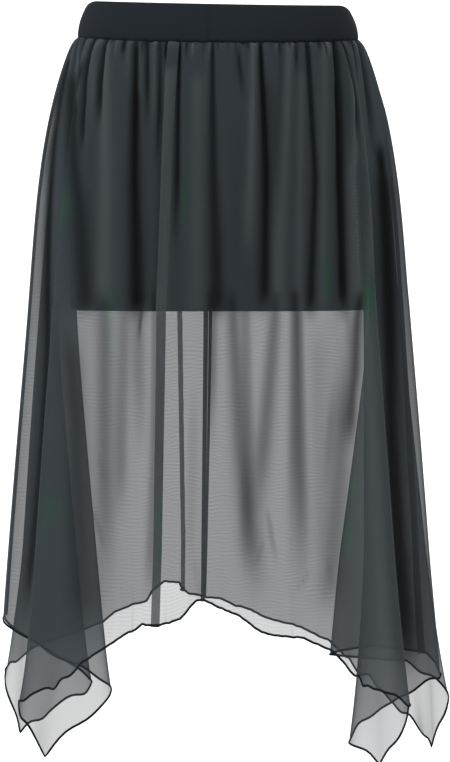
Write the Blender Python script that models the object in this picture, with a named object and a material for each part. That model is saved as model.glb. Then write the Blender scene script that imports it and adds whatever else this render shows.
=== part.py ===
"""A long sheer skirt with a four-point hem, gathered under a wide stretch waistband.

The skirt hangs as worn, open and hollow: front at -Y, back at +Y. Left and right in names
are as seen from the front, so left is at -X. The origin lies on the body's axis at mid
height of the waistband. Metres, +Z up.
"""

import bmesh
import bpy
import numpy as np

COLLECTION = "handkerchief_skirt"
MM = 0.001

# Driving sizes, in millimetres
SEAM_HALF_WIDTH = 161.0
SEAM_HALF_DEPTH = 98.0
SEAM_ROUNDNESS = 2.4
SEAM_MIDDLE = -18.5
SEAM_TILT = 9.5
SEAM_SAG = 3.0
SEAM_LEAN = 0.008
BAND_TOP_MIDDLE = 20.9
BAND_TOP_TILT = 7.0
BAND_TOP_SAG = 1.4
BAND_TOP_LEAN = 0.028
BAND_TOP_INSET = 10.5
BAND_DEPTH_INSET = 7.5
BAND_BULGE = 2.0
BAND_WALL = 3.0
SLIP_HEM_HALF_WIDTH = 171.0
SLIP_HEM_HALF_DEPTH = 121.0
SLIP_HEM_Z = -331.0
SLIP_INSET = 2.2
SLIP_SPREAD = 0.8
SLIP_WALL = 1.0
CHIFFON_WALL = 1.0
PIECE_GAP = 0.3

# The heights at which the folds' places are given
MID_Z = -320.0
LOW_Z = -600.0
FLARE_LENGTH = 125.0
TURN_LENGTH = 40.0
DRIFT_POWER = 1.6

# Gathers at the seam, in all and in each quarter
GATHERS = 64
QUARTER = GATHERS // 4
MEAN_RIDGE = 0.75
GATHER_DEPTH = 3.8
GATHER_FADE = 75.0
SOFT_DEPTH = 2.4
SOFT_FADE = 260.0
CREASE_START = 45.0

# Uneven spacing and depth of the gathers: waves round the waist, their size and their start
WAVE = ("count", "size", "start")
SPACING_WAVES = ((9, 1.1, 0.6), (23, 0.9, 1.9))
DEPTH_WAVES = ((17, 0.25, 1.0),)

# Mesh fineness, and the step along the cloth that gives its direction
LOOK_AHEAD = 0.02
SHARP_ANGLE = 60.0
RING_STEPS = 2000
SHORT_SPAN_COLUMNS = 5
COLUMN_WIDTH = 6.8
ROW_SHARES = (0.0, 0.022, 0.05, 0.095, 0.16, 0.25, 0.37, 0.52, 0.68, 0.84, 1.0)
BAND_COLUMNS = 44
BAND_ROWS = 4
SLIP_COLUMNS = 36
SLIP_ROWS = 5

# Each row is one fold line of the chiffon, counted in gathers from the centre to the side:
# its place at mid height and low down, its drift at the hem, and the hem's height there.
FOLD = ("gather", "x_mid", "y_mid", "x_low", "y_low", "drift", "z_hem")
FRONT_LEFT_FOLDS = (
    (0.45, -9, -150, -13, -181, 0, -654),    # centre front seam
    (1.6, -27, -152, -34, -184, 0, -676),
    (3.3, -50, -151, -57, -184, 0, -684),    # narrow pleat
    (5.2, -70, -152, -80, -184, 0, -687),
    (7.0, -92, -147, -102, -181, 0, -695),   # deep fold
    (8.6, -118, -144, -132, -176, 0, -713),
    (10.0, -150, -131, -168, -160, 0, -742),
    (11.2, -189, -99, -205, -136, -3, -771),  # front edge of the side fold
    (12.2, -181, -86, -180, -114, -14, -831),  # front corner
    (13.2, -164, -73, -138, -88, 0, -761),   # inner edge of the side fold
    (14.3, -195, -50, -196, -55, 0, -717),
    (15.5, -220, -20, -241, -20, 0, -684),   # side edge
    (16.0, -221, -4, -241, -2, 0, -682),     # side seam
)
BACK_LEFT_FOLDS = (
    (14.8, -206, 8, -205, 14, 0, -720),
    (13.6, -191, 18, -165, 30, 0, -762),     # hidden fold
    (12.6, -203, 36, -200, 55, 0, -800),
    (11.9, -209, 48, -222, 68, 0, -826),     # back corner
    (11.1, -212, 60, -229, 83, -12, -752),    # back edge of the side fold
    (10.2, -198, 88, -215, 112, 0, -731),
    (8.8, -160, 118, -175, 146, 0, -716),
    (7.0, -115, 137, -127, 169, 0, -692),
    (5.4, -85, 144, -92, 177, 0, -680),
    (3.9, -62, 147, -66, 180, 0, -653),
    (2.6, -42, 148, -45, 182, 0, -655),
    (1.3, -20, 148, -24, 182, 0, -669),
    (0.0, -6, 147, -12, 180, 0, -670),       # centre back seam
)
BACK_RIGHT_FOLDS = (
    (1.4, 18, 148, 22, 182, 0, -678),
    (3.0, 42, 147, 47, 181, 0, -689),
    (5.0, 76, 144, 86, 177, 0, -705),
    (7.0, 112, 137, 125, 168, 0, -722),
    (8.8, 152, 120, 168, 146, 0, -764),
    (10.2, 188, 92, 210, 116, 0, -815),
    (11.2, 206, 72, 236, 97, -7, -845),       # back corner
    (11.8, 214, 60, 243, 84, 7, -785),      # back edge of the side fold
    (12.7, 203, 40, 212, 58, 4, -740),
    (13.6, 181, 20, 143, 34, 6, -731),       # hidden fold
    (14.8, 200, 8, 184, 14, 0, -719),
    (16.0, 217, -6, 232, -8, 0, -726),       # side seam
)
FRONT_RIGHT_FOLDS = (
    (15.0, 222, -22, 242, -24, 4, -747),     # side edge
    (14.0, 196, -50, 199, -56, 0, -775),
    (13.0, 166, -74, 165, -90, -15, -815),   # inner edge of the side fold
    (12.2, 173, -86, 178, -113, 0, -841),    # front corner
    (11.2, 180, -99, 198, -136, 5, -776),    # front edge of the side fold
    (10.2, 146, -133, 165, -163, 0, -752),   # deep fold
    (8.6, 120, -143, 134, -175, 0, -724),
    (7.0, 94, -147, 102, -181, 0, -704),
    (5.2, 70, -151, 74, -184, 0, -693),
    (3.6, 51, -150, 48, -183, 0, -686),      # deep fold
    (1.6, 20, -152, 17, -184, 0, -670),
    (-0.45, -9, -150, -13, -181, 0, -654),   # centre front seam
)

# Hollows between the gathers that run on down the cloth, by gathers round from the front
CREASE = ("around", "width", "depth", "fade")
CREASES = (
    (3.2, 0.5, 5.0, 170),
    (7.0, 0.6, 8.0, 300),
    (10.0, 0.6, 5.0, 150),
    (12.1, 0.6, 5.0, 160),
    (19.4, 0.6, 6.0, 200),
    (23.1, 0.7, 7.0, 280),
    (27.2, 0.6, 5.0, 220),
    (30.3, 0.5, 6.0, 300),
    (34.2, 0.6, 6.0, 260),
    (38.1, 0.7, 8.0, 300),
    (41.3, 0.6, 5.0, 180),
    (44.6, 0.6, 6.0, 200),
    (51.2, 0.6, 5.0, 160),
    (53.8, 0.7, 9.0, 260),
    (56.4, 0.6, 5.0, 280),
    (60.4, 0.6, 8.0, 260),
    (62.6, 0.5, 4.0, 110),
)

# The nodes' colours and finish
MATERIALS = {
    "waistband": ((0.016, 0.021, 0.027, 1.0), 0.85),
    "slip": ((0.012, 0.015, 0.018, 1.0), 0.9),
    "chiffon": ((0.045, 0.054, 0.058, 1.0), 0.8),
}


def clear_scene():
    for item in list(bpy.data.objects):
        bpy.data.objects.remove(item, do_unlink=True)


def make_material(name):
    colour, roughness = MATERIALS[name]
    material = bpy.data.materials.new(name)
    material.use_nodes = True
    shader = material.node_tree.nodes["Principled BSDF"]
    shader.inputs["Base Color"].default_value = colour
    shader.inputs["Roughness"].default_value = roughness
    shader.inputs["Metallic"].default_value = 0.0
    return material


def ring(around, half_width, half_depth):
    """Points of a flattened ring, by gathers round from the front over the left side."""
    angle = np.linspace(0.0, np.pi / 2, RING_STEPS)
    power = 2.0 / SEAM_ROUNDNESS
    x = half_width * np.sin(angle) ** power
    y = half_depth * np.cos(angle) ** power
    length = np.concatenate([[0.0], np.cumsum(np.hypot(np.diff(x), np.diff(y)))])
    turn = np.mod(around, GATHERS) / QUARTER
    quarter = np.floor(turn).astype(int) % 4
    share = turn - np.floor(turn)
    share = np.where(quarter % 2 == 0, share, 1.0 - share)
    across = np.interp(share * length[-1], length, x)
    along = np.interp(share * length[-1], length, y)
    x_sign = np.where(quarter < 2, -1.0, 1.0)
    y_sign = np.where((quarter == 0) | (quarter == 3), -1.0, 1.0)
    return x_sign * across, y_sign * along


def seam_height(x, y):
    """Height of the seam under the waistband, which dips at the front."""
    forward = y / SEAM_HALF_DEPTH
    return SEAM_MIDDLE + SEAM_TILT * forward - SEAM_SAG * forward ** 2 - SEAM_LEAN * x


def band_top_height(x, y):
    """Height of the waistband's top edge, which also dips at the front."""
    forward = y / SEAM_HALF_DEPTH
    return (
        BAND_TOP_MIDDLE + BAND_TOP_TILT * forward
        - BAND_TOP_SAG * forward ** 2 - BAND_TOP_LEAN * x
    )


def with_directions(plan, around, z):
    """Points of a plan curve at heights z, with its inward and onward directions."""
    x, y = plan(around)
    x_a, y_a = plan(around - LOOK_AHEAD)
    x_b, y_b = plan(around + LOOK_AHEAD)
    length = np.hypot(x_b - x_a, y_b - y_a)
    onward = np.stack([(x_b - x_a) / length, (y_b - y_a) / length, np.zeros_like(x)], axis=1)
    inward = np.stack([onward[:, 1], -onward[:, 0], np.zeros_like(x)], axis=1)
    return np.stack([x, y, z], axis=1), inward, onward


def ring_row(around, half_width, half_depth, z):
    return with_directions(lambda place: ring(place, half_width, half_depth), around, z)


def fold_lines():
    """All fold lines in one loop, from the centre front over the left side and back to it."""
    loop = []
    for sign, start, rows in (
        (1, 0, FRONT_LEFT_FOLDS),
        (-1, 2 * QUARTER, BACK_LEFT_FOLDS),
        (1, 2 * QUARTER, BACK_RIGHT_FOLDS),
        (-1, 4 * QUARTER, FRONT_RIGHT_FOLDS),
    ):
        for row in rows:
            fold = dict(zip(FOLD, row))
            fold["around"] = start + sign * fold["gather"]
            loop.append(fold)
    return {key: np.array([fold[key] for fold in loop], float) for key in loop[0]}


def smooth_through(knots, values, places):
    """A smooth curve through the values that never swings past them, periodic over the loop."""
    step = np.diff(knots)
    slope = np.diff(values, axis=0) / step[:, None]
    before = np.roll(slope, 1, axis=0)
    width_before = np.roll(step, 1)[:, None]
    width = step[:, None]
    same_way = before * slope > 0
    weight_a = 2 * width + width_before
    weight_b = width + 2 * width_before
    safe_before = np.where(same_way, before, 1.0)
    safe_slope = np.where(same_way, slope, 1.0)
    mean = (weight_a + weight_b) / (weight_a / safe_before + weight_b / safe_slope)
    tangent = np.where(same_way, mean, 0.0)
    tangent = np.vstack([tangent, tangent[:1]])
    span = np.clip(np.searchsorted(knots, places, side="right") - 1, 0, len(knots) - 2)
    width = step[span][:, None]
    t = ((places - knots[span]) / step[span])[:, None]
    start = values[span]
    end = values[span + 1]
    return (
        start * (1 + 2 * t) * (1 - t) ** 2
        + tangent[span] * width * t * (1 - t) ** 2
        + end * t ** 2 * (3 - 2 * t)
        + tangent[span + 1] * width * t ** 2 * (t - 1)
    )


def uneven(around, waves):
    turn = 2 * np.pi * around / GATHERS
    total = np.zeros_like(turn)
    for row in waves:
        wave = dict(zip(WAVE, row))
        total = total + wave["size"] * np.sin(wave["count"] * turn + wave["start"])
    return total


def ruffle(around, drop):
    """How far the gathers and long hollows push the cloth out at this drop below the seam."""
    phase = 2 * np.pi * around + uneven(around, SPACING_WAVES)
    height = (0.5 + 0.5 * np.cos(phase)) * (MEAN_RIDGE + uneven(around, DEPTH_WAVES))
    push = height * (
        GATHER_DEPTH * np.exp(-drop / GATHER_FADE) + SOFT_DEPTH * np.exp(-drop / SOFT_FADE)
    )
    for row in CREASES:
        crease = dict(zip(CREASE, row))
        away = (around - crease["around"]) / crease["width"]
        depth = crease["depth"] * (1 - np.exp(-drop / CREASE_START))
        push = push - depth * np.exp(-drop / crease["fade"]) * np.exp(-away ** 2)
    return push


def cloth_plan(folds, around, z):
    """The chiffon's plan at heights z, one for each place around, without its ruffles."""
    seam_x, seam_y = ring(around, SEAM_HALF_WIDTH, SEAM_HALF_DEPTH)
    drop = np.maximum(seam_height(seam_x, seam_y) - z, 0.0)
    knots = folds["around"]
    columns = ("x_mid", "y_mid", "x_low", "y_low", "drift")
    values = np.stack([folds[key] for key in columns], axis=1)
    x_mid, y_mid, x_low, y_low, drift = smooth_through(knots, values, around).T
    z_hem = np.interp(around, knots, folds["z_hem"])
    flare = 1 - np.exp(-drop / FLARE_LENGTH)
    fall = TURN_LENGTH * np.log1p(np.exp((MID_Z - z) / TURN_LENGTH)) / (MID_Z - LOW_Z)
    flick = np.clip((LOW_Z - z) / (LOW_Z - z_hem), 0.0, 1.0) ** DRIFT_POWER
    x = seam_x + (x_mid - seam_x) * flare + (x_low - x_mid) * fall + drift * flick
    y = seam_y + (y_mid - seam_y) * flare + (y_low - y_mid) * fall
    return x, y, drop


def cloth_points(folds, around, share):
    """Outer points of the chiffon with their outward and onward directions."""
    seam_x, seam_y = ring(around, SEAM_HALF_WIDTH, SEAM_HALF_DEPTH)
    top = seam_height(seam_x, seam_y) - PIECE_GAP
    z_hem = np.interp(around, folds["around"], folds["z_hem"])
    z = top + (z_hem - top) * share
    first, last = folds["around"][0], folds["around"][-1]

    def pushed(place):
        wrapped = first + np.mod(place - first, last - first)
        x, y, drop = cloth_plan(folds, wrapped, z)
        return x, y, ruffle(wrapped, drop)

    def ruffled(place):
        x, y, push = pushed(place)
        x_a, y_a, _ = pushed(place - LOOK_AHEAD)
        x_b, y_b, _ = pushed(place + LOOK_AHEAD)
        length = np.hypot(x_b - x_a, y_b - y_a)
        return x - (y_b - y_a) / length * push, y + (x_b - x_a) / length * push

    return with_directions(ruffled, around, z)


def shell(name, rows, wall, material, collection):
    """A closed cloth wall between an outer grid of points and its copy moved inward."""
    points = np.array([row[0] for row in rows])
    inward = np.array([row[1] for row in rows])
    onward = np.array([row[2] for row in rows])
    points[:, 0] += onward[:, 0] * PIECE_GAP / 2
    points[:, -1] -= onward[:, -1] * PIECE_GAP / 2
    inner = points + inward * wall
    inner[:, :, 2] = points[:, :, 2]
    mesh = bpy.data.meshes.new(name)
    body = bmesh.new()
    count_rows, count_columns = points.shape[:2]
    for layer in (points, inner):
        grid = bmesh.ops.create_grid(
            body, x_segments=count_columns - 1, y_segments=count_rows - 1, size=1.0
        )
        for vertex, place in zip(grid["verts"], layer.reshape(-1, 3)):
            vertex.co = place * MM
    edges = [edge for edge in body.edges if edge.is_boundary]
    bmesh.ops.bridge_loops(body, edges=edges)
    bmesh.ops.recalc_face_normals(body, faces=body.faces)
    body.to_mesh(mesh)
    body.free()
    mesh.materials.append(material)
    mesh.shade_smooth()
    mesh.set_sharp_from_angle(angle=np.radians(SHARP_ANGLE))
    item = bpy.data.objects.new(name, mesh)
    collection.objects.link(item)
    return item


def make_band(name, start, material, collection):
    around = np.linspace(start, start + 2 * QUARTER, BAND_COLUMNS)
    x, y = ring(around, SEAM_HALF_WIDTH, SEAM_HALF_DEPTH)
    rows = []
    for share in np.linspace(0.0, 1.0, BAND_ROWS):
        bulge = BAND_BULGE * np.sin(np.pi * share)
        half_width = SEAM_HALF_WIDTH - BAND_TOP_INSET * share + bulge
        half_depth = SEAM_HALF_DEPTH - BAND_DEPTH_INSET * share + bulge
        bottom = seam_height(x, y)
        z = bottom + (band_top_height(x, y) - bottom) * share
        rows.append(ring_row(around, half_width, half_depth, z))
    return shell(name, rows, BAND_WALL, material, collection)


def make_slip(name, start, material, collection):
    around = np.linspace(start, start + 2 * QUARTER, SLIP_COLUMNS)
    x, y = ring(around, SEAM_HALF_WIDTH, SEAM_HALF_DEPTH)
    top = seam_height(x, y) - PIECE_GAP
    top_width = SEAM_HALF_WIDTH - SLIP_INSET
    top_depth = SEAM_HALF_DEPTH - SLIP_INSET
    rows = []
    for share in np.linspace(0.0, 1.0, SLIP_ROWS):
        spread = share ** SLIP_SPREAD
        half_width = top_width + (SLIP_HEM_HALF_WIDTH - top_width) * spread
        half_depth = top_depth + (SLIP_HEM_HALF_DEPTH - top_depth) * spread
        rows.append(ring_row(around, half_width, half_depth, top + (SLIP_HEM_Z - top) * share))
    return shell(name, rows, SLIP_WALL, material, collection)


def spread_columns(folds, first, last):
    """Places around for one panel's columns, each fold line on a column of its own."""
    knots = folds["around"][first:last + 1]
    wide = np.hypot(
        np.diff(folds["x_low"][first:last + 1]), np.diff(folds["y_low"][first:last + 1])
    )
    places = [knots[:1]]
    for index, width in enumerate(wide):
        count = max(SHORT_SPAN_COLUMNS, int(round(width / COLUMN_WIDTH)))
        places.append(np.linspace(knots[index], knots[index + 1], count + 1)[1:])
    return np.concatenate(places)


def make_panel(name, folds, first, last, material, collection):
    around = spread_columns(folds, first, last)
    rows = [cloth_points(folds, around, share) for share in ROW_SHARES]
    return shell(name, rows, CHIFFON_WALL, material, collection)


def main():
    clear_scene()
    collection = bpy.data.collections.new(COLLECTION)
    bpy.context.scene.collection.children.link(collection)
    slots = {name: make_material(name) for name in MATERIALS}
    make_band("waistband_front", -QUARTER, slots["waistband"], collection)
    make_band("waistband_back", QUARTER, slots["waistband"], collection)
    make_slip("slip_front", -QUARTER, slots["slip"], collection)
    make_slip("slip_back", QUARTER, slots["slip"], collection)
    folds = fold_lines()
    first = 0
    for name, rows in (
        ("skirt_front_left", FRONT_LEFT_FOLDS),
        ("skirt_back_left", BACK_LEFT_FOLDS),
        ("skirt_back_right", BACK_RIGHT_FOLDS),
        ("skirt_front_right", FRONT_RIGHT_FOLDS),
    ):
        last = first + len(rows) if first else len(rows) - 1
        make_panel(name, folds, first, last, slots["chiffon"], collection)
        first = last


main()
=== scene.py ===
"""A long sheer skirt with a four-point handkerchief hem, dressed in its cloth.

The chiffon hangs in four panels from a wide stretch waistband, over a short opaque slip.
Front at -Y. Left and right are as seen from the front, so left is at -X.
Sizes in the tables are millimetres.
"""

import bmesh
import bpy
import numpy as np
from bpy.props import FloatProperty, FloatVectorProperty, IntProperty, PointerProperty
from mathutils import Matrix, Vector


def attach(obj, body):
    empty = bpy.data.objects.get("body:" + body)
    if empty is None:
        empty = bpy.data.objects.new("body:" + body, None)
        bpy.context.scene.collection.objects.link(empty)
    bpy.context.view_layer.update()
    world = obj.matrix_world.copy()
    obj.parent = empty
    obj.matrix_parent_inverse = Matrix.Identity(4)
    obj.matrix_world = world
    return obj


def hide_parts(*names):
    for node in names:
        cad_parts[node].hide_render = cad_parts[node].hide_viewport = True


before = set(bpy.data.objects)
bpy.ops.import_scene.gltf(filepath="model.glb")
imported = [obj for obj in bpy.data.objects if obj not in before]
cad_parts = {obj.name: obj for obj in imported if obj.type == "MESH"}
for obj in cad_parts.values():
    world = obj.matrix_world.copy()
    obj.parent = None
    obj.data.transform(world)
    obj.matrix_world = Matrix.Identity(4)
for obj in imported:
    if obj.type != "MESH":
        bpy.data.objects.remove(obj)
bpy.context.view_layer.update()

bl_info = {
    "name": "Handkerchief hem skirt",
    "version": (1, 0, 0),
    "blender": (4, 5, 0),
    "location": "3D View > Sidebar > Skirt",
    "description": "Builds a sheer gathered skirt, its waistband, slip, hems and studio",
    "category": "Add Mesh",
}

BODY = "root"
MM = 0.001
TINY = 1e-6

# Waves round the waist: how many of them, their size, and where they start in radians
WAVE = ("count", "size", "start")

# The waist seam. The pieces under it hang a small gap lower.
SEAM_HALF_WIDTH = 161.0
SEAM_HALF_DEPTH = 98.0
SEAM_ROUNDNESS = 2.4
SEAM_MIDDLE = -18.5
SEAM_TILT = 9.5
SEAM_SAG = 3.0
SEAM_LEAN = 0.008
SEAM_LIFT = {"start": 70.0, "reach": 95.0, "height": 3.4}
SEAM_WAVES = ((41, 0.35, 0.4), (73, 0.4, 1.2), (17, 0.3, 2.0), (109, 0.3, 0.7))
SEAM_GAP = 0.3

# The band over the seam. Shares are of the way from the seam to the top edge, and a mark is
# given by its darkness and its width.
BAND_LENGTH = 0.852
BAND_TOP_MIDDLE = 21.4
BAND_TOP_TILT = 7.0
BAND_TOP_SAG = 1.4
BAND_TOP_LEAN = 0.018
BAND_TOP_INSET = 10.5
BAND_DEPTH_INSET = 7.5
BAND_BULGE = 2.0
BAND_CORNER = {"start": 137.0, "reach": 14.0, "dip": 5.0, "most": 1.5}
BAND_EDGE = 0.94
BAND_CURVE = 1.25
BAND_RIPPLE = 0.35
BAND_PULLED_SHARE = 0.35
BAND_SIDE_POINTS = 13
BAND_EDGE_POINTS = 7
BAND_EDGE_TURN = (0.1, 0.9)
BAND_SEAMS = (0.9, 16.4, 47.6)
BAND_SEAM_MARK = (0.3, 0.12)
BAND_JOIN_MARK = (0.75, 0.05)

# The slip under the chiffon, with the stitched line of its turned-up hem
SLIP_HEM_HALF_WIDTH = 171.0
SLIP_HEM_HALF_DEPTH = 121.0
SLIP_HEM_Z = -331.0
SLIP_INSET = 2.2
SLIP_HALF_WALL = 0.4
SLIP_SPREAD = 0.8
SLIP_COLUMNS = 256
SLIP_ROWS = 40
SLIP_RIPPLE = 0.9
SLIP_WAVES = ((7, 0.8, 0.3), (12, 0.6, 1.8))
SLIP_STITCH_MARK = (0.8, 2.0)

# The heights at which the folds' places are given, and the drops over which the cloth flares
# out from the seam and turns to its lower places
MID_Z = -320.0
LOW_Z = -600.0
FLARE_LENGTH = 125.0
TURN_LENGTH = 40.0
DRIFT_POWER = 1.6

# Counting round the waist, from the centre front over the left side and the back: how many
# gathers, the cloth's length in each, and the steps in which places and directions are found
GATHERS = 64
QUARTER = GATHERS // 4
GATHER_LENGTH = 21.0
RING_STEPS = 2000
WALL_STEPS = 500
LOOK_AHEAD = 0.02
SEAM_PLACES = {"front": 0.45, "left": 16.0, "back": 32.0, "right": 48.0}
WALLS = {"front": (-11.2, 11.2), "back": (21.0, 43.0)}

# Each row is one fold line of the chiffon: its place at mid height and low down,
# its drift at the hem, and the hem's height there
FOLD = ("gather", "x_mid", "y_mid", "x_low", "y_low", "drift", "z_hem")
FRONT_LEFT_FOLDS = (
    (0.45, -9, -150, -13, -181, 0, -654),
    (1.6, -27, -152, -34, -184, 0, -676),
    (3.3, -50, -151, -57, -184, 0, -684),
    (5.2, -70, -152, -80, -184, 0, -687),
    (7.0, -92, -147, -102, -181, 0, -695),
    (8.6, -118, -144, -132, -176, 0, -713),
    (10.0, -150, -131, -168, -160, 0, -742),
    (11.2, -189, -99, -205, -136, -3, -771),
    (12.2, -181, -86, -180, -114, -14, -831),
    (13.2, -164, -73, -138, -88, 0, -761),
    (14.3, -195, -50, -196, -55, 0, -717),
    (15.5, -220, -20, -241, -20, 0, -684),
    (16.0, -221, -4, -241, -2, 0, -682),
)
BACK_LEFT_FOLDS = (
    (14.8, -206, 8, -205, 14, 0, -720),
    (13.6, -191, 18, -165, 30, 0, -762),
    (12.6, -203, 36, -200, 55, 0, -800),
    (11.9, -209, 48, -222, 68, 0, -826),
    (11.1, -212, 60, -229, 83, -12, -752),
    (10.2, -198, 88, -215, 112, 0, -731),
    (8.8, -160, 118, -175, 146, 0, -716),
    (7.0, -115, 137, -127, 169, 0, -692),
    (5.4, -85, 144, -92, 177, 0, -680),
    (3.9, -62, 147, -66, 180, 0, -653),
    (2.6, -42, 148, -45, 182, 0, -655),
    (1.3, -20, 148, -24, 182, 0, -669),
    (0.0, -6, 147, -12, 180, 0, -670),
)
BACK_RIGHT_FOLDS = (
    (1.4, 18, 148, 22, 182, 0, -678),
    (3.0, 42, 147, 47, 181, 0, -689),
    (5.0, 76, 144, 86, 177, 0, -705),
    (7.0, 112, 137, 125, 168, 0, -722),
    (8.8, 152, 120, 168, 146, 0, -764),
    (10.2, 188, 92, 210, 116, 0, -815),
    (11.2, 206, 72, 236, 97, -7, -845),
    (11.8, 214, 60, 243, 84, 7, -785),
    (12.7, 203, 40, 212, 58, 4, -740),
    (13.6, 181, 20, 143, 34, 6, -731),
    (14.8, 200, 8, 184, 14, 0, -719),
    (16.0, 217, -6, 232, -8, 0, -726),
)
FRONT_RIGHT_FOLDS = (
    (15.0, 222, -22, 242, -24, 4, -747),
    (14.0, 196, -50, 199, -56, 0, -775),
    (13.0, 166, -74, 165, -90, -15, -815),
    (12.2, 173, -86, 178, -113, 0, -841),
    (11.2, 180, -99, 198, -136, 5, -776),
    (10.2, 146, -133, 165, -163, 0, -752),
    (8.6, 120, -143, 134, -175, 0, -724),
    (7.0, 94, -147, 102, -181, 0, -704),
    (5.2, 70, -151, 74, -184, 0, -693),
    (3.6, 51, -150, 48, -183, 0, -686),
    (1.6, 20, -152, 17, -184, 0, -670),
    (-0.45, -9, -150, -13, -181, 0, -654),
)
# Each panel: its piece, the solid it replaces, and the seams where it starts and ends.
PANELS = (
    ("chiffon_front_left", "skirt_front_left", "front", "left"),
    ("chiffon_back_left", "skirt_back_left", "left", "back"),
    ("chiffon_back_right", "skirt_back_right", "back", "right"),
    ("chiffon_front_right", "skirt_front_right", "right", "front"),
)
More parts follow.
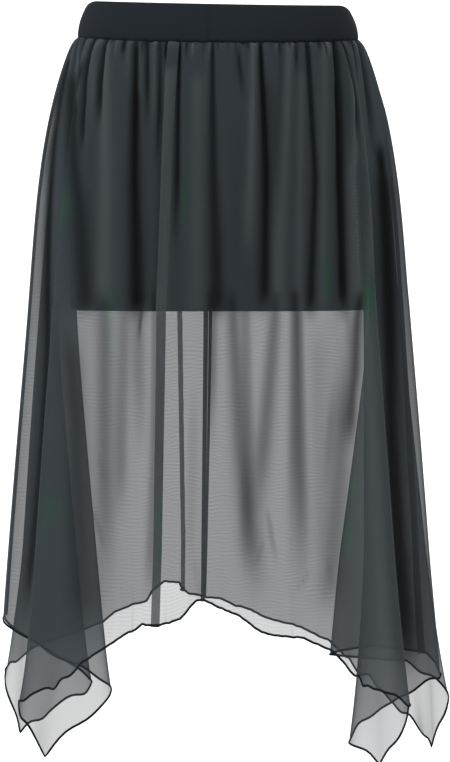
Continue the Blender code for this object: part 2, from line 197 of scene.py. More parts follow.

# Hollows and rounded ridges by their x on the front or back wall: where each starts, passes
# its middle and ends, its half width at both ends, its depth (negative on a ridge), how dark
# the painted shade in its hollow is (on a ridge, how strong its painted highlight), and the
# share of its length that it dies out over
LINE = (
    "x_top", "z_top", "x_mid", "x_end", "z_end", "width", "spread", "depth", "shade", "fade",
)
FRONT_LINES = (
    # hollows between the gathers, over the slip
    (-150, -16, -151, -153, -170, 3.0, 4.5, 5.0, 0.97, 0.3),
    (-160, -84, -157, -150, -345, 9.0, 17.0, 3.5, 0.80, 0.08),
    (-126, -16, -132, -133, -140, 2.6, 5.0, 4.2, 0.95, 0.4),
    (-116, -16, -116, -117, -60, 2.2, 2.6, 2.0, 0.3, 0.6),
    (-106, -16, -106, -106, -58, 2.4, 3.0, 3.0, 0.95, 0.6),
    (-57, -16, -58, -60, -66, 2.0, 2.6, 3.0, 0.9, 0.5),
    (-92, -16, -94, -91, -352, 3.2, 9.0, 7.5, 0.92, 0.10),
    (-92, -80, -88, -84, -352, 7.0, 16.0, 2.0, 0.5, 0.14),
    (-79, -16, -79, -79, -160, 2.4, 4.5, 3.0, 0.92, 0.6),
    (-64, -22, -64, -66, -200, 3.0, 5.0, 4.0, 0.6, 0.5),
    (-43, -18, -45, -46, -310, 2.8, 5.0, 5.0, 0.88, 0.45),
    (-30, -16, -30, -31, -62, 2.2, 2.6, 2.2, 0.3, 0.6),
    (-16, -16, -16, -16, -56, 2.2, 2.6, 2.4, 0.6, 0.6),
    (-6, -16, -4.5, 0, -350, 1.6, 12.0, 3.6, 0.88, 0.08),
    (22, -110, 24, 26, -330, 14.0, 20.0, 0.6, 0.2, 0.3),
    (20, -16, 26, 34, -118, 2.8, 3.6, 5.0, 0.6, 0.6),
    (34, -16, 34, 35, -52, 2.2, 2.4, 2.2, 0.4, 0.6),
    (47, -16, 54, 52, -350, 2.6, 9.0, 7.5, 0.92, 0.12),
    (56, -66, 62, 60, -260, 8.0, 16.0, 2.0, 0.48, 0.5),
    (61, -16, 61, 61, -50, 2.0, 2.4, 2.0, 0.5, 0.6),
    (74, -16, 72, 68, -190, 2.6, 7.0, 2.6, 0.35, 0.5),
    (88, -16, 88, 88, -80, 2.4, 3.2, 3.0, 0.75, 0.6),
    (100, -18, 110, 104, -352, 3.0, 7.0, 6.0, 0.86, 0.10),
    (115, -16, 115, 115, -54, 2.4, 3.0, 2.8, 0.65, 0.6),
    (132, -18, 139, 144, -352, 3.6, 9.0, 8.0, 1.0, 0.12),
    (136, -70, 139, 142, -270, 7.0, 12.0, 2.0, 0.4, 0.5),
    (155, -18, 155, 153, -165, 3.0, 5.0, 5.0, 0.97, 0.4),
    # ridges that catch the light
    (-137, -22, -138, -140, -140, 4.0, 6.0, -1.6, 0.3, 0.5),
    (-122, -22, -124, -127, -352, 4.5, 13.0, -2.4, 0.6, 0.1),
    (-99, -22, -99, -99, -90, 3.0, 3.0, -1.2, 0.25, 0.6),
    (-70, -26, -70, -70, -140, 3.0, 4.0, -1.4, 0.3, 0.5),
    (-50, -56, -56, -62, -352, 3.5, 6.0, -1.2, 0.6, 0.1),
    (-22, -60, -22, -22, -352, 8.0, 11.0, -1.2, 0.42, 0.1),
    (40, -24, 38, 33, -300, 3.2, 8.0, -2.2, 0.62, 0.3),
    (80, -30, 74, 66, -352, 5.0, 9.0, -1.8, 0.5, 0.1),
    (118, -30, 119, 119, -352, 5.0, 7.0, -1.4, 0.4, 0.1),
    (148, -22, 150, 158, -345, 3.5, 8.0, -2.2, 0.85, 0.1),
    (166, -60, 171, 168, -320, 7.0, 8.0, -1.2, 0.4, 0.2),
    (94, -60, 92, 92, -352, 4.0, 6.0, -1.2, 0.4, 0.1),
    # soft folds where light comes through the cloth
    (-129, -306, -127, -122, -690, 11.0, 13.0, 3.0, 0.60, 0.45),
    (-91, -306, -89, -86, -520, 7.0, 9.0, 2.0, 0.45, 0.6),
    (-87, -326, -88, -89, -375, 1.6, 2.0, 1.6, 0.7, 0.5),
    (-71, -306, -71, -76, -670, 3.4, 7.0, 1.0, 0.5, 0.2),
    (-171, -340, -158, -148, -720, 10.0, 22.0, 3.0, 0.62, 0.2),
    (-62, -306, -64, -67, -680, 4.5, 4.5, -0.1, 0.35, 0.05),
    (-6, -306, -7, -10, -520, 6.5, 5.0, 1.6, 0.62, 0.6),
    (15, -306, 26, 46, -672, 7.0, 15.0, 3.0, 0.66, 0.25),
    (66, -306, 54, 38, -600, 6.5, 12.0, 3.0, 0.62, 0.4),
    (88, -306, 87, 88, -680, 5.0, 11.0, 3.8, 0.66, 0.55),
    (113, -340, 115, 118, -650, 10.0, 13.0, 1.6, 0.22, 0.3),
    (146, -360, 136, 120, -680, 12.0, 14.0, 2.6, 0.52, 0.15),
    (160, -306, 155, 146, -500, 7.0, 9.0, 2.0, 0.85, 0.25),
    (164, -300, 176, 190, -800, 12.0, 15.0, -0.6, 0.9, 0.08),
    (50, -590, 46, 40, -622, 2.4, 2.4, 1.4, 0.2, 0.5),
    (104, -622, 93, 82, -652, 2.4, 2.4, 1.4, 0.2, 0.5),
    (122, -610, 126, 130, -640, 2.4, 2.4, 1.4, 0.2, 0.5),
    (-136, -492, -130, -124, -530, 2.6, 2.6, 1.2, 0.18, 0.5),
    (-24, -600, -20, -18, -700, 3.0, 4.0, 1.4, 0.15, 0.4),
)
BACK_LINES = (
    (-149, -8, -153, -158, -150, 3.0, 5.0, 5.0, 0.8, 0.5),
    (-134, -8, -136, -139, -85, 2.8, 3.6, 4.0, 0.6, 0.6),
    (-121, -8, -122, -124, -48, 2.4, 3.0, 2.6, 0.5, 0.6),
    (-108, -8, -112, -116, -345, 3.2, 8.0, 7.0, 0.82, 0.16),
    (-104, -80, -108, -112, -345, 7.0, 15.0, 2.0, 0.42, 0.16),
    (-94, -8, -95, -96, -60, 2.4, 3.0, 2.8, 0.5, 0.6),
    (-80, -8, -83, -86, -150, 2.8, 5.0, 4.4, 0.65, 0.5),
    (-66, -8, -67, -68, -52, 2.2, 2.6, 2.4, 0.5, 0.6),
    (-53, -8, -54, -56, -230, 3.0, 6.0, 5.0, 0.75, 0.4),
    (-38, -8, -38, -39, -80, 2.6, 3.4, 3.2, 0.6, 0.6),
    (-24, -8, -25, -27, -345, 2.8, 7.0, 4.6, 0.66, 0.16),
    (-12, -8, -12, -13, -55, 2.2, 2.6, 2.2, 0.5, 0.6),
    (7, -8, 8, 10, -110, 2.6, 4.0, 3.4, 0.55, 0.6),
    (22, -8, 26, 30, -345, 3.2, 8.0, 7.0, 0.84, 0.16),
    (30, -90, 33, 36, -345, 8.0, 15.0, 2.0, 0.42, 0.16),
    (37, -8, 37, 38, -58, 2.4, 2.8, 2.6, 0.5, 0.6),
    (51, -8, 53, 55, -150, 2.8, 5.0, 4.2, 0.65, 0.5),
    (66, -8, 67, 68, -62, 2.4, 3.0, 2.6, 0.5, 0.6),
    (81, -8, 87, 93, -345, 3.4, 8.0, 7.0, 0.82, 0.16),
    (97, -8, 98, 100, -85, 2.6, 3.4, 3.2, 0.55, 0.6),
    (112, -8, 116, 121, -190, 3.0, 6.0, 5.0, 0.75, 0.45),
    (130, -8, 133, 136, -75, 2.6, 3.4, 3.2, 0.6, 0.6),
    (147, -8, 152, 158, -240, 3.4, 6.5, 6.0, 0.85, 0.4),
    (-128, -16, -130, -134, -300, 4.5, 7.0, -1.8, 0.45, 0.2),
    (-94, -40, -97, -98, -345, 4.0, 7.0, -1.8, 0.4, 0.1),
    (-66, -40, -68, -72, -345, 5.0, 7.0, -1.6, 0.4, 0.1),
    (-10, -40, -10, -10, -345, 6.0, 8.0, -1.2, 0.3, 0.1),
    (14, -24, 15, 16, -300, 3.6, 6.0, -1.8, 0.4, 0.3),
    (60, -40, 64, 70, -345, 6.0, 8.0, -1.6, 0.4, 0.1),
    (104, -24, 106, 110, -345, 4.4, 7.0, -2.0, 0.45, 0.1),
    (137, -40, 142, 150, -380, 4.0, 6.0, -2.0, 0.5, 0.2),
    (-112, -312, -116, -118, -590, 8.0, 8.0, 3.0, 0.5, 0.3),
    (-28, -400, -32, -36, -690, 4.0, 8.0, 2.0, 0.18, 0.4),
    (32, -312, 36, 32, -650, 5.0, 9.0, 3.2, 0.5, 0.3),
    (96, -312, 100, 104, -680, 4.0, 8.0, 3.6, 0.55, 0.4),
    (138, -400, 134, 128, -560, 5.0, 7.0, 2.0, 0.35, 0.5),
    (-152, -560, -142, -134, -620, 3.0, 3.0, 1.6, 0.35, 0.5),
    (58, -560, 64, 72, -640, 3.0, 3.0, 1.6, 0.35, 0.5),
)
# The same for the sides, counted in gathers round the waist in place of x
SIDE_LINES = (
    (12.6, -16, 12.6, 12.5, -130, 3.2, 5.0, 4.6, 0.75, 0.5),
    (13.8, -16, 13.9, 14.0, -85, 2.6, 3.4, 3.4, 0.55, 0.6),
    (14.9, -14, 15.0, 15.1, -210, 3.2, 6.0, 5.2, 0.75, 0.5),
    (16.6, -14, 16.6, 16.7, -70, 2.6, 3.2, 3.2, 0.5, 0.6),
    (17.7, -14, 17.8, 17.8, -140, 3.0, 4.6, 4.4, 0.6, 0.5),
    (18.9, -14, 18.9, 19.0, -60, 2.4, 3.0, 3.0, 0.5, 0.6),
    (20.1, -12, 20.2, 20.3, -190, 3.2, 6.0, 5.0, 0.75, 0.5),
    (43.9, -12, 43.9, 43.8, -160, 3.2, 5.0, 4.8, 0.7, 0.5),
    (45.2, -14, 45.2, 45.2, -70, 2.6, 3.2, 3.2, 0.5, 0.6),
    (46.4, -14, 46.4, 46.3, -200, 3.2, 6.0, 5.0, 0.75, 0.5),
    (47.4, -14, 47.4, 47.4, -60, 2.4, 3.0, 3.0, 0.5, 0.6),
    (48.9, -14, 48.9, 48.8, -110, 2.8, 4.0, 4.0, 0.6, 0.6),
    (50.1, -14, 50.2, 50.3, -170, 3.2, 5.0, 5.0, 0.7, 0.5),
    (51.3, -16, 51.4, 51.5, -130, 3.2, 4.6, 4.6, 0.75, 0.5),
    # The dark gap beside the right front fold: painted shade, deep enough to look black; the
    # second line is painted only and has no depth
    (49.9, -132, 49.97, 49.70, -765, 10.0, 15.0, 1.0, 1.0, 0.12),
    (49.9, -165, 49.97, 49.71, -750, 13.0, 16.0, 0.0, 0.85, 0.12),
    (48.7, -300, 48.8, 48.8, -760, 16.0, 26.0, -0.5, 0.4, 0.1),
    (14.75, -40, 14.36, 14.75, -700, 7.0, 7.0, 1.5, 0.92, 0.12),
    (13.9, -50, 13.5, 13.4, -330, 11.0, 14.0, 1.0, 0.85, 0.25),
    (11.8, -40, 11.9, 11.9, -300, 14.0, 20.0, 1.0, 0.85, 0.3),
    (19.9, -260, 20.2, 20.4, -600, 5.0, 8.0, 3.0, 0.4, 0.3),
    (44.5, -260, 44.3, 44.2, -640, 5.0, 8.0, 3.0, 0.4, 0.3),
)
# The length over which a hollow begins, by how far under the waist it starts. One that is
# wider than WIDE_HOLLOW takes longer.
WIDE_HOLLOW = 5.0
HOLLOW_EASE = {
    "drop": (22.0, 60.0, 300.0, 324.0, 400.0),
    "length": (3.0, 14.0, 10.0, 16.0, 70.0),
}

# Puckers at the waist seam: the middle, swing and pace of each measure. Every third is a ridge.
# A hollow's shade is painted shade, a ridge's is a painted highlight.
PUCKERS = 118
PUCKER = {
    "reach": (20.0, 10.0, 1.7),
    "width": (1.5, 0.5, 3.1),
    "depth": (1.7, 0.8, 2.1),
    "shade": (0.64, 0.3, 5.3),
    "shift": (0.0, 0.34, 2.4),
}
PUCKER_RISE = 3.0
PUCKER_SPREAD = 1.7
PUCKER_FADE = 0.8
PUCKER_TURN = 3

# Above this height a wall's x is looked up here, because the cloth is close to the seam
SEAM_EASE_Z = -30.0

# Narrow pleats pressed over from the waist to the hem. The cloth slides back under itself by
# a share of the pleat's width.
PLEAT = ("wall", "x_top", "x_mid", "x_end", "width_top", "width_end", "lift", "way")
PLEATS = (
    ("front", -49.5, -63.5, -67, 11.5, 9.0, 1.6, 1),
    ("back", -44, -46, -42, 6.5, 4.8, 1.2, -1),
)
PLEAT_SLIDE = 0.75

# How far the cloth stands out under the seam, and the drops over which that fades. The small
# folds begin over the shoulder's drop.
RIDGE_DEPTH = 3.2
RIDGE_FADE = 75.0
SOFT_DEPTH = 1.9
SOFT_FADE = 260.0
SHOULDER = 5.0

# The ruffle along the hem, how far up it reaches, and the hem's own uneven line. Both are
# livelier on the hanging points, below the start of LOBE.
HEM_WAVES = ((23, 1.0, 1.2), (47, 0.7, 0.4), (83, 0.3, 2.1), (127, 0.12, 0.9))
HEM_WAVE_REACH = 34.0
HEM_EDGE_WAVES = ((61, 0.22, 0.8), (97, 0.2, 2.2), (149, 0.1, 1.1))
LOBE = {"start": -722.0, "reach": 30.0, "gain": 2.0}

# The finer line of the hem on the two walls, in place of the folds' own heights there
HEM_POINT = ("wall", "x", "z")
HEM = (
    ("front", -197, -760), ("front", -179, -749), ("front", -164, -741), ("front", -150, -725),
    ("front", -125, -709), ("front", -111, -700), ("front", -103, -694), ("front", -91, -689),
    ("front", -83, -683), ("front", -70, -685), ("front", -53, -681), ("front", -41, -677),
    ("front", -33, -668), ("front", -23, -657), ("front", -17, -656), ("front", 2, -665),
    ("front", 20, -672), ("front", 30, -678), ("front", 42, -688), ("front", 55, -694),
    ("front", 70, -696), ("front", 95, -698), ("front", 124, -711), ("front", 132, -718),
    ("front", 142, -729), ("front", 151, -740), ("front", 166, -751), ("front", 180, -758),
    ("back", -136, -700), ("back", -123, -689), ("back", -104, -681), ("back", -85, -676),
    ("back", -79, -665), ("back", -65, -653), ("back", -47, -654), ("back", -44, -662),
    ("back", -34, -668), ("back", -21, -670), ("back", 1, -673), ("back", 20, -682),
    ("back", 39, -687), ("back", 61, -698), ("back", 98, -707), ("back", 126, -721),
)

# The rolled hem's cross-section, and how far it hangs under the edge of the cloth
HEM_SIDES = 8
HEM_HANG = 0.3

# The seams' two layers of allowance, pressed back at each panel's end: their width at the top
# and at the hem, the way they lie, the cloth's length in one gather there against its usual
# one, and where they start and end in shares of their width. They are also drawn darker and
# denser than one layer of cloth.
ALLOWANCE_TOP = 8.0
ALLOWANCE_END = 6.0
ALLOWANCE_WAYS = {"front": 1, "left": 1, "back": -1, "right": -1}
ALLOWANCE_COLUMNS = 4
ALLOWANCE_PACE = (0.65, 1.2)
ALLOWANCE_NEAR = 0.2
ALLOWANCE_FAR = 1.2
ALLOWANCE_STEP = 0.12
ALLOWANCE_GAP = 0.5
ALLOWANCE_DARKNESS = 0.5

# Fineness of the cloth meshes, which lie in the middle of the solids' wall
COLUMN_STEP = 0.078
PLEAT_FINENESS = 3.5
PLEAT_REACH = 0.55
ROWS = 100
TOP_ROWS = 30
TOP_REACH = 100.0
TOP_POWER = 1.5
CLOTH_WALL = 1.0

# Places where the gathered cloth lies so close that hardly any light comes through
COVER = ("place", "z", "spread", "reach", "strength")
COVERS = (
    (16.0, -46, 2.3, 54, 0.96),
    (14.0, -140, 0.75, 180, 0.95),
    (18.7, -150, 1.7, 210, 0.96),
    (21.4, -170, 1.3, 190, 0.9),
    (11.9, -150, 1.1, 190, 0.9),
    (49.0, -60, 2.0, 74, 0.96),
    (50.4, -110, 1.0, 120, 0.95),
    (51.8, -130, 0.9, 130, 0.9),
    (46.2, -150, 1.8, 210, 0.96),
    (43.1, -170, 1.4, 190, 0.9),
)

# Faint green streaks where the light catches the layers, by x on a wall, or by gathers round
# the waist at the sides, and by height
SPOT = ("wall", "x", "z", "size", "strength")
SPOT_FLATTEN = 0.36
SPOTS = (
    ("front", -38, -205, 6, 0.8),
    ("front", -33, -190, 4, 0.5),
    ("front", -176, -214, 7, 0.8),
    ("front", -122, -338, 7, 0.9),
    ("front", -117, -372, 6, 0.8),
    ("front", -128, -419, 5, 0.6),
    ("front", -122, -604, 6, 0.6),
    ("front", 122, -296, 7, 0.9),
    ("front", 116, -284, 4, 0.5),
    ("front", 170, -322, 7, 0.9),
    ("front", 144, -588, 7, 1.0),
    ("front", 150, -534, 6, 0.8),
    ("front", 158, -486, 4, 0.4),
    ("front", -64, -562, 5, 0.8),
    ("front", -63, -598, 4, 0.7),
    ("front", 53, -556, 7, 0.4),
    ("front", -186, -560, 6, 0.6),
    ("back", -41, -578, 4, 0.8),
    ("back", -92, -300, 7, 0.9),
    ("back", 18, -240, 6, 0.7),
    ("back", 74, -330, 7, 0.8),
    ("back", 120, -420, 6, 0.8),
    ("back", 150, -590, 7, 0.8),
    ("back", -140, -540, 7, 0.8),
    ("back", -205, -600, 7, 1.0),
    ("side", 15.6, -600, 6, 1.0),
    ("side", 17.5, -380, 6, 0.7),
    ("side", 46.0, -420, 7, 0.8),
    ("side", 48.6, -250, 6, 0.6),
)

# Finishes. Textures are given by their scale per metre, shades as factors of a piece's colour,
# and a tint by the share of its mask that shows and its shade. A bump has a strength and a
# height in metres, and "shader" holds the numbers of the shader's own sockets.
EVEN = (1.0, 1.0, 1.0)
WHITE = (1.0, 1.0, 1.0, 1.0)
MIX_FIRST, MIX_SECOND, MIX_RESULT = 6, 7, 2  # a Mix node's sockets for colours
CHIFFON = {
    "thread": dict(scale=420.0, distortion=0.4),
    "crepe": dict(scale=900.0, detail=3.0, roughness=0.6),
    "moire": dict(scale=84.0, direction="Y", distortion=15.0, detail=1.0, detail_scale=0.24),
    "moire_stretch": (1.0, 0.9, 1.0),
    "moire_by_height": (14.0, 10.4),
    "patches": dict(scale=9.0, detail=3.0, roughness=0.55),
    "breaks": dict(scale=90.0, detail=3.0, roughness=0.6),
    "breaks_stretch": (1.0, 0.4, 1.0),
    "breaks_contrast": (1.6, -0.1),
    "shades": (0.88, 1.1),
    "weave_tint": (0.3, 0.85),
    # painted highlight: the lighter colour that ridges are taken towards
    "crest_colour": (0.120, 0.137, 0.142, 1.0),
    # painted shade: the near-black colour that creases and puckers are taken towards
    "hollow_colour": (0.003, 0.004, 0.004, 1.0),
    "hollow_share": 0.96,
    "facing_blend": 0.5,
    "least_straight": 0.3,
    "slant_power": 0.85,
    "weave_light": (-0.05, 1.025),
    "moire_light": -0.12,
    "crepe_light": 0.12,
    "hollow_light": -0.88,
    "cover_light": -0.95,
    "bump": (0.02, 0.0003),
    "shader": {
        "Roughness": 0.85, "Specular IOR Level": 0.06,
        "Sheen Weight": 0.03, "Sheen Roughness": 0.5,
    },
}
THREAD = {
    "twist": dict(scale=1400.0, detail=2.0, roughness=0.6),
    "patch": dict(scale=60.0, detail=2.0, roughness=0.5),
    "shades": (0.75, 1.25),
    "patch_tint": (0.3, 0.6),
    "bump": (0.5, 0.0004),
    "shader": {"Roughness": 0.85, "Specular IOR Level": 0.1},
}
JERSEY = {
    "rib": dict(scale=330.0, direction="X", distortion=0.8, detail=1.0, detail_scale=2.0),
    "course": dict(scale=260.0, direction="Y", distortion=0.8, detail=1.0, detail_scale=2.0),
    "fleck": dict(scale=700.0, detail=3.0, roughness=0.65),
    "worn": dict(scale=24.0, detail=3.0, roughness=0.55),
    "shades": (0.78, 1.24),
    "worn_tint": (0.35, 1.35),
    "seam_tint": (0.8, 0.3),
    "bump": (0.4, 0.0005),
    "shader": {
        "Roughness": 0.88, "Specular IOR Level": 0.12,
        "Sheen Weight": 0.04, "Sheen Roughness": 0.45,
    },
}
LINING = {
    "thread": dict(scale=600.0, direction="X", distortion=0.5),
    "grain": dict(scale=500.0, detail=2.0, roughness=0.6),
    "drift": dict(scale=14.0, detail=3.0, roughness=0.5),
    "shades": (0.8, 1.2),
    "drift_tint": (0.3, 1.4),
    "stitch_tint": (0.7, 0.3),
    "bump": (0.25, 0.0003),
    "shader": {"Roughness": 0.8, "Specular IOR Level": 0.1},
}
FLOOR = {
    "cloud": dict(scale=3.0, detail=2.0, roughness=0.5),
    "shades": (0.98, 1.02),
    "shader": {"Roughness": 0.9},
}

# Studio, in metres and watts
FLOOR_RADIUS = 2.2
FLOOR_SIDES = 96
SKY_COLOUR = (0.97, 0.98, 1.0, 1.0)
LAYERS_SEEN = 40
SENSOR = 24.0
VIEW_HEIGHT = 0.8763
VIEW_DEPTH = 50.0
CAMERA_PLACE = (0.008, -5.0, -0.413)
AIM = (0.0, 0.0, -0.35)
LIGHT = ("name", "place", "width", "height", "watts")
LIGHTS = (
    ("left_softbox", (-2.9, -2.0, 0.5), 1.2, 2.4, 62.0),
    ("right_softbox", (2.9, -2.2, 0.5), 1.2, 2.4, 28.0),
    ("top_softbox", (0.0, -0.6, 2.4), 2.0, 2.0, 26.0),
    ("back_softbox", (0.4, 3.0, 0.9), 2.0, 2.0, 26.0),
)


# The cloth's form

def wrapped(folds, place):
    """The same place round, counted within the loop of fold lines."""
    first, last = folds["around"][0], folds["around"][-1]
    return first + np.mod(place - first, last - first)


def gathers_away(around, place):
    """How many gathers round each place lies from another, the shorter way."""
    half = GATHERS / 2
    return np.mod(around - place + half, GATHERS) - half


def ring(around, half_width, half_depth):
    """Points of a flattened ring, by gathers round from the front over the left side."""
    angle = np.linspace(0.0, np.pi / 2, RING_STEPS)
    power = 2.0 / SEAM_ROUNDNESS
    x = half_width * np.sin(angle) ** power
    y = half_depth * np.cos(angle) ** power
    length = np.concatenate([[0.0], np.cumsum(np.hypot(np.diff(x), np.diff(y)))])
    turn = np.mod(around, GATHERS) / QUARTER
    quarter = np.floor(turn).astype(int) % 4
    share = turn - np.floor(turn)
    share = np.where(quarter % 2 == 0, share, 1.0 - share)
    across = np.interp(share * length[-1], length, x)
    along = np.interp(share * length[-1], length, y)
    x_sign = np.where(quarter < 2, -1.0, 1.0)
    y_sign = np.where((quarter == 0) | (quarter == 3), -1.0, 1.0)
    return x_sign * across, y_sign * along


def seam_height(x, y):
    """Height of the waist seam's plain line, by its place in plan."""
    forward = y / SEAM_HALF_DEPTH
    return SEAM_MIDDLE + SEAM_TILT * forward - SEAM_SAG * forward ** 2 - SEAM_LEAN * x


def seam_edge(around):
    """Height of the chiffon's top edge, lifted at the left and pulled about by the gathers."""
    x, y = ring(around, SEAM_HALF_WIDTH, SEAM_HALF_DEPTH)
    lift = SEAM_LIFT["height"] * smooth_step((-x - SEAM_LIFT["start"]) / SEAM_LIFT["reach"])
    return seam_height(x, y) + lift + uneven(around, SEAM_WAVES)


def band_top_height(x, y):
    """Height of the band's top edge, which dips at the two sides."""
    forward = y / SEAM_HALF_DEPTH
    beyond = (np.abs(x) - BAND_CORNER["start"]) / BAND_CORNER["reach"]
    corner = np.clip(beyond, 0.0, BAND_CORNER["most"])
    return (
        BAND_TOP_MIDDLE + BAND_TOP_TILT * forward
        - BAND_TOP_SAG * forward ** 2 - BAND_TOP_LEAN * x - BAND_CORNER["dip"] * corner ** 3
    )


def fold_lines():
    """All fold lines in one loop, from the centre front over the left side and back to it."""
    loop = []
    for sign, start, rows in (
        (1, 0, FRONT_LEFT_FOLDS),
        (-1, 2 * QUARTER, BACK_LEFT_FOLDS),
        (1, 2 * QUARTER, BACK_RIGHT_FOLDS),
        (-1, 4 * QUARTER, FRONT_RIGHT_FOLDS),
    ):
        for row in rows:
            fold = dict(zip(FOLD, row))
            fold["around"] = start + sign * fold["gather"]
            loop.append(fold)
    return {key: np.array([fold[key] for fold in loop], float) for key in loop[0]}


def smooth_through(knots, values, places):
    """A smooth curve through the values that never swings past them, periodic over the loop."""
    step = np.diff(knots)
    slope = np.diff(values, axis=0) / step[:, None]
    before = np.roll(slope, 1, axis=0)
    width_before = np.roll(step, 1)[:, None]
    width = step[:, None]
    same_way = before * slope > 0
    weight_a = 2 * width + width_before
    weight_b = width + 2 * width_before
    safe_before = np.where(same_way, before, 1.0)
    safe_slope = np.where(same_way, slope, 1.0)
    mean = (weight_a + weight_b) / (weight_a / safe_before + weight_b / safe_slope)
    tangent = np.where(same_way, mean, 0.0)
    tangent = np.vstack([tangent, tangent[:1]])
    span = np.clip(np.searchsorted(knots, places, side="right") - 1, 0, len(knots) - 2)
    width = step[span][:, None]
    t = ((places - knots[span]) / step[span])[:, None]
    start = values[span]
    end = values[span + 1]
    return (
        start * (1 + 2 * t) * (1 - t) ** 2
        + tangent[span] * width * t * (1 - t) ** 2
        + end * t ** 2 * (3 - 2 * t)
        + tangent[span + 1] * width * t ** 2 * (t - 1)
    )


def uneven(around, waves):
    """The sum of waves round the waist."""
    turn = 2 * np.pi * around / GATHERS
    total = np.zeros_like(turn)
    for row in waves:
        wave = dict(zip(WAVE, row))
        total = total + wave["size"] * np.sin(wave["count"] * turn + wave["start"])
    return total


def cloth_plan(folds, around, z):
    """The chiffon's plan at heights z, one for each place around, without its small folds."""
    seam_x, seam_y = ring(around, SEAM_HALF_WIDTH, SEAM_HALF_DEPTH)
    drop = np.maximum(seam_height(seam_x, seam_y) - z, 0.0)
    knots = folds["around"]
    columns = ("x_mid", "y_mid", "x_low", "y_low", "drift")
    values = np.stack([folds[key] for key in columns], axis=1)
    x_mid, y_mid, x_low, y_low, drift = smooth_through(knots, values, around).T
    z_hem = np.interp(around, knots, folds["z_hem"])
    flare = 1 - np.exp(-drop / FLARE_LENGTH)
    fall = TURN_LENGTH * np.log1p(np.exp((MID_Z - z) / TURN_LENGTH)) / (MID_Z - LOW_Z)
    flick = np.clip((LOW_Z - z) / (LOW_Z - z_hem), 0.0, 1.0) ** DRIFT_POWER
    x = seam_x + (x_mid - seam_x) * flare + (x_low - x_mid) * fall + drift * flick
    y = seam_y + (y_mid - seam_y) * flare + (y_low - y_mid) * fall
    return x, y, drop


def place_on_wall(folds, wall, x, z):
    """The place round where the front or back wall has this x at height z."""
    first, last = WALLS[wall]
    places = np.linspace(first, last, WALL_STEPS)
    found = cloth_plan(folds, wrapped(folds, places), np.full_like(places, z))[0]
    order = np.argsort(found)
    return float(np.interp(x, found[order], places[order]))


def crease_paths(folds):
    """Every crease as places round at three heights."""
    paths = []
    for wall, rows in (("front", FRONT_LINES), ("back", BACK_LINES), ("side", SIDE_LINES)):
        for row in rows:
            line = dict(zip(LINE, row))
            heights = (line["z_top"], (line["z_top"] + line["z_end"]) / 2, line["z_end"])
            places = (line["x_top"], line["x_mid"], line["x_end"])
            if wall != "side":
                places = [
                    place_on_wall(folds, wall, x, min(z, SEAM_EASE_Z))
                    for x, z in zip(places, heights)
                ]
            line["heights"] = -np.array(heights, float)
            line["places"] = np.array(places, float)
            paths.append(line)
    return paths + pucker_paths()


def pucker_paths():
    """Short uneven hollows with painted shade and small ridges with a painted highlight, turn by
    turn, all along the waist seam.
    """
    paths = []
    for number in range(PUCKERS):
        own = {
            key: middle + swing * np.sin(pace * number)
            for key, (middle, swing, pace) in PUCKER.items()
        }
        place = GATHERS * (number + own["shift"]) / PUCKERS
        top = float(seam_edge(place)) + PUCKER_RISE
        ridge = number % PUCKER_TURN == 1
        line = dict(z_top=top, z_end=top - own["reach"], width=own["width"], fade=PUCKER_FADE)
        line["spread"] = own["width"] * PUCKER_SPREAD
        line["depth"] = -own["depth"] / 2 if ridge else own["depth"]
        line["shade"] = own["shade"]
        line["heights"] = -np.array([top, top - own["reach"]])
        line["places"] = np.array([place, place])
        paths.append(line)
    return paths


def pleat_paths(folds):
    """Every pleat as places round at three heights."""
    paths = []
    for row in PLEATS:
        pleat = dict(zip(PLEAT, row))
        heights = (SEAM_EASE_Z, MID_Z, LOW_Z)
        places = [
            place_on_wall(folds, pleat["wall"], x, z)
            for x, z in zip((pleat["x_top"], pleat["x_mid"], pleat["x_end"]), heights)
        ]
        pleat["heights"] = -np.array(heights)
        pleat["places"] = np.array(places)
        paths.append(pleat)
    return paths


def smooth_step(value):
    """From 0 to 1 with a soft start and end."""
    value = np.clip(value, 0.0, 1.0)
    return value * value * (3 - 2 * value)


def away_from(path, around, z, pace):
    """Distance along the cloth from a path, in millimetres."""
    place = np.interp(-z, path["heights"], path["places"])
    return gathers_away(around, place) * pace


def hem_line(folds):
    """Places round and hem heights: the fold lines', with finer ones on the two walls."""
    places, heights = list(folds["around"]), list(folds["z_hem"])
    for wall in WALLS:
        finer = []
        for row in HEM:
            point = dict(zip(HEM_POINT, row))
            if point["wall"] == wall:
                place = place_on_wall(folds, wall, point["x"], point["z"])
                finer.append((float(wrapped(folds, place)), point["z"], place))
        low, high = min(p[2] for p in finer), max(p[2] for p in finer)
        away = [abs(gathers_away(place, (low + high) / 2)) for place in places]
        kept = [number for number, far in enumerate(away) if far > (high - low) / 2]
        places = [places[number] for number in kept] + [p[0] for p in finer]
        heights = [heights[number] for number in kept] + [p[1] for p in finer]
    order = np.argsort(places)
    return np.array(places)[order], np.array(heights)[order]


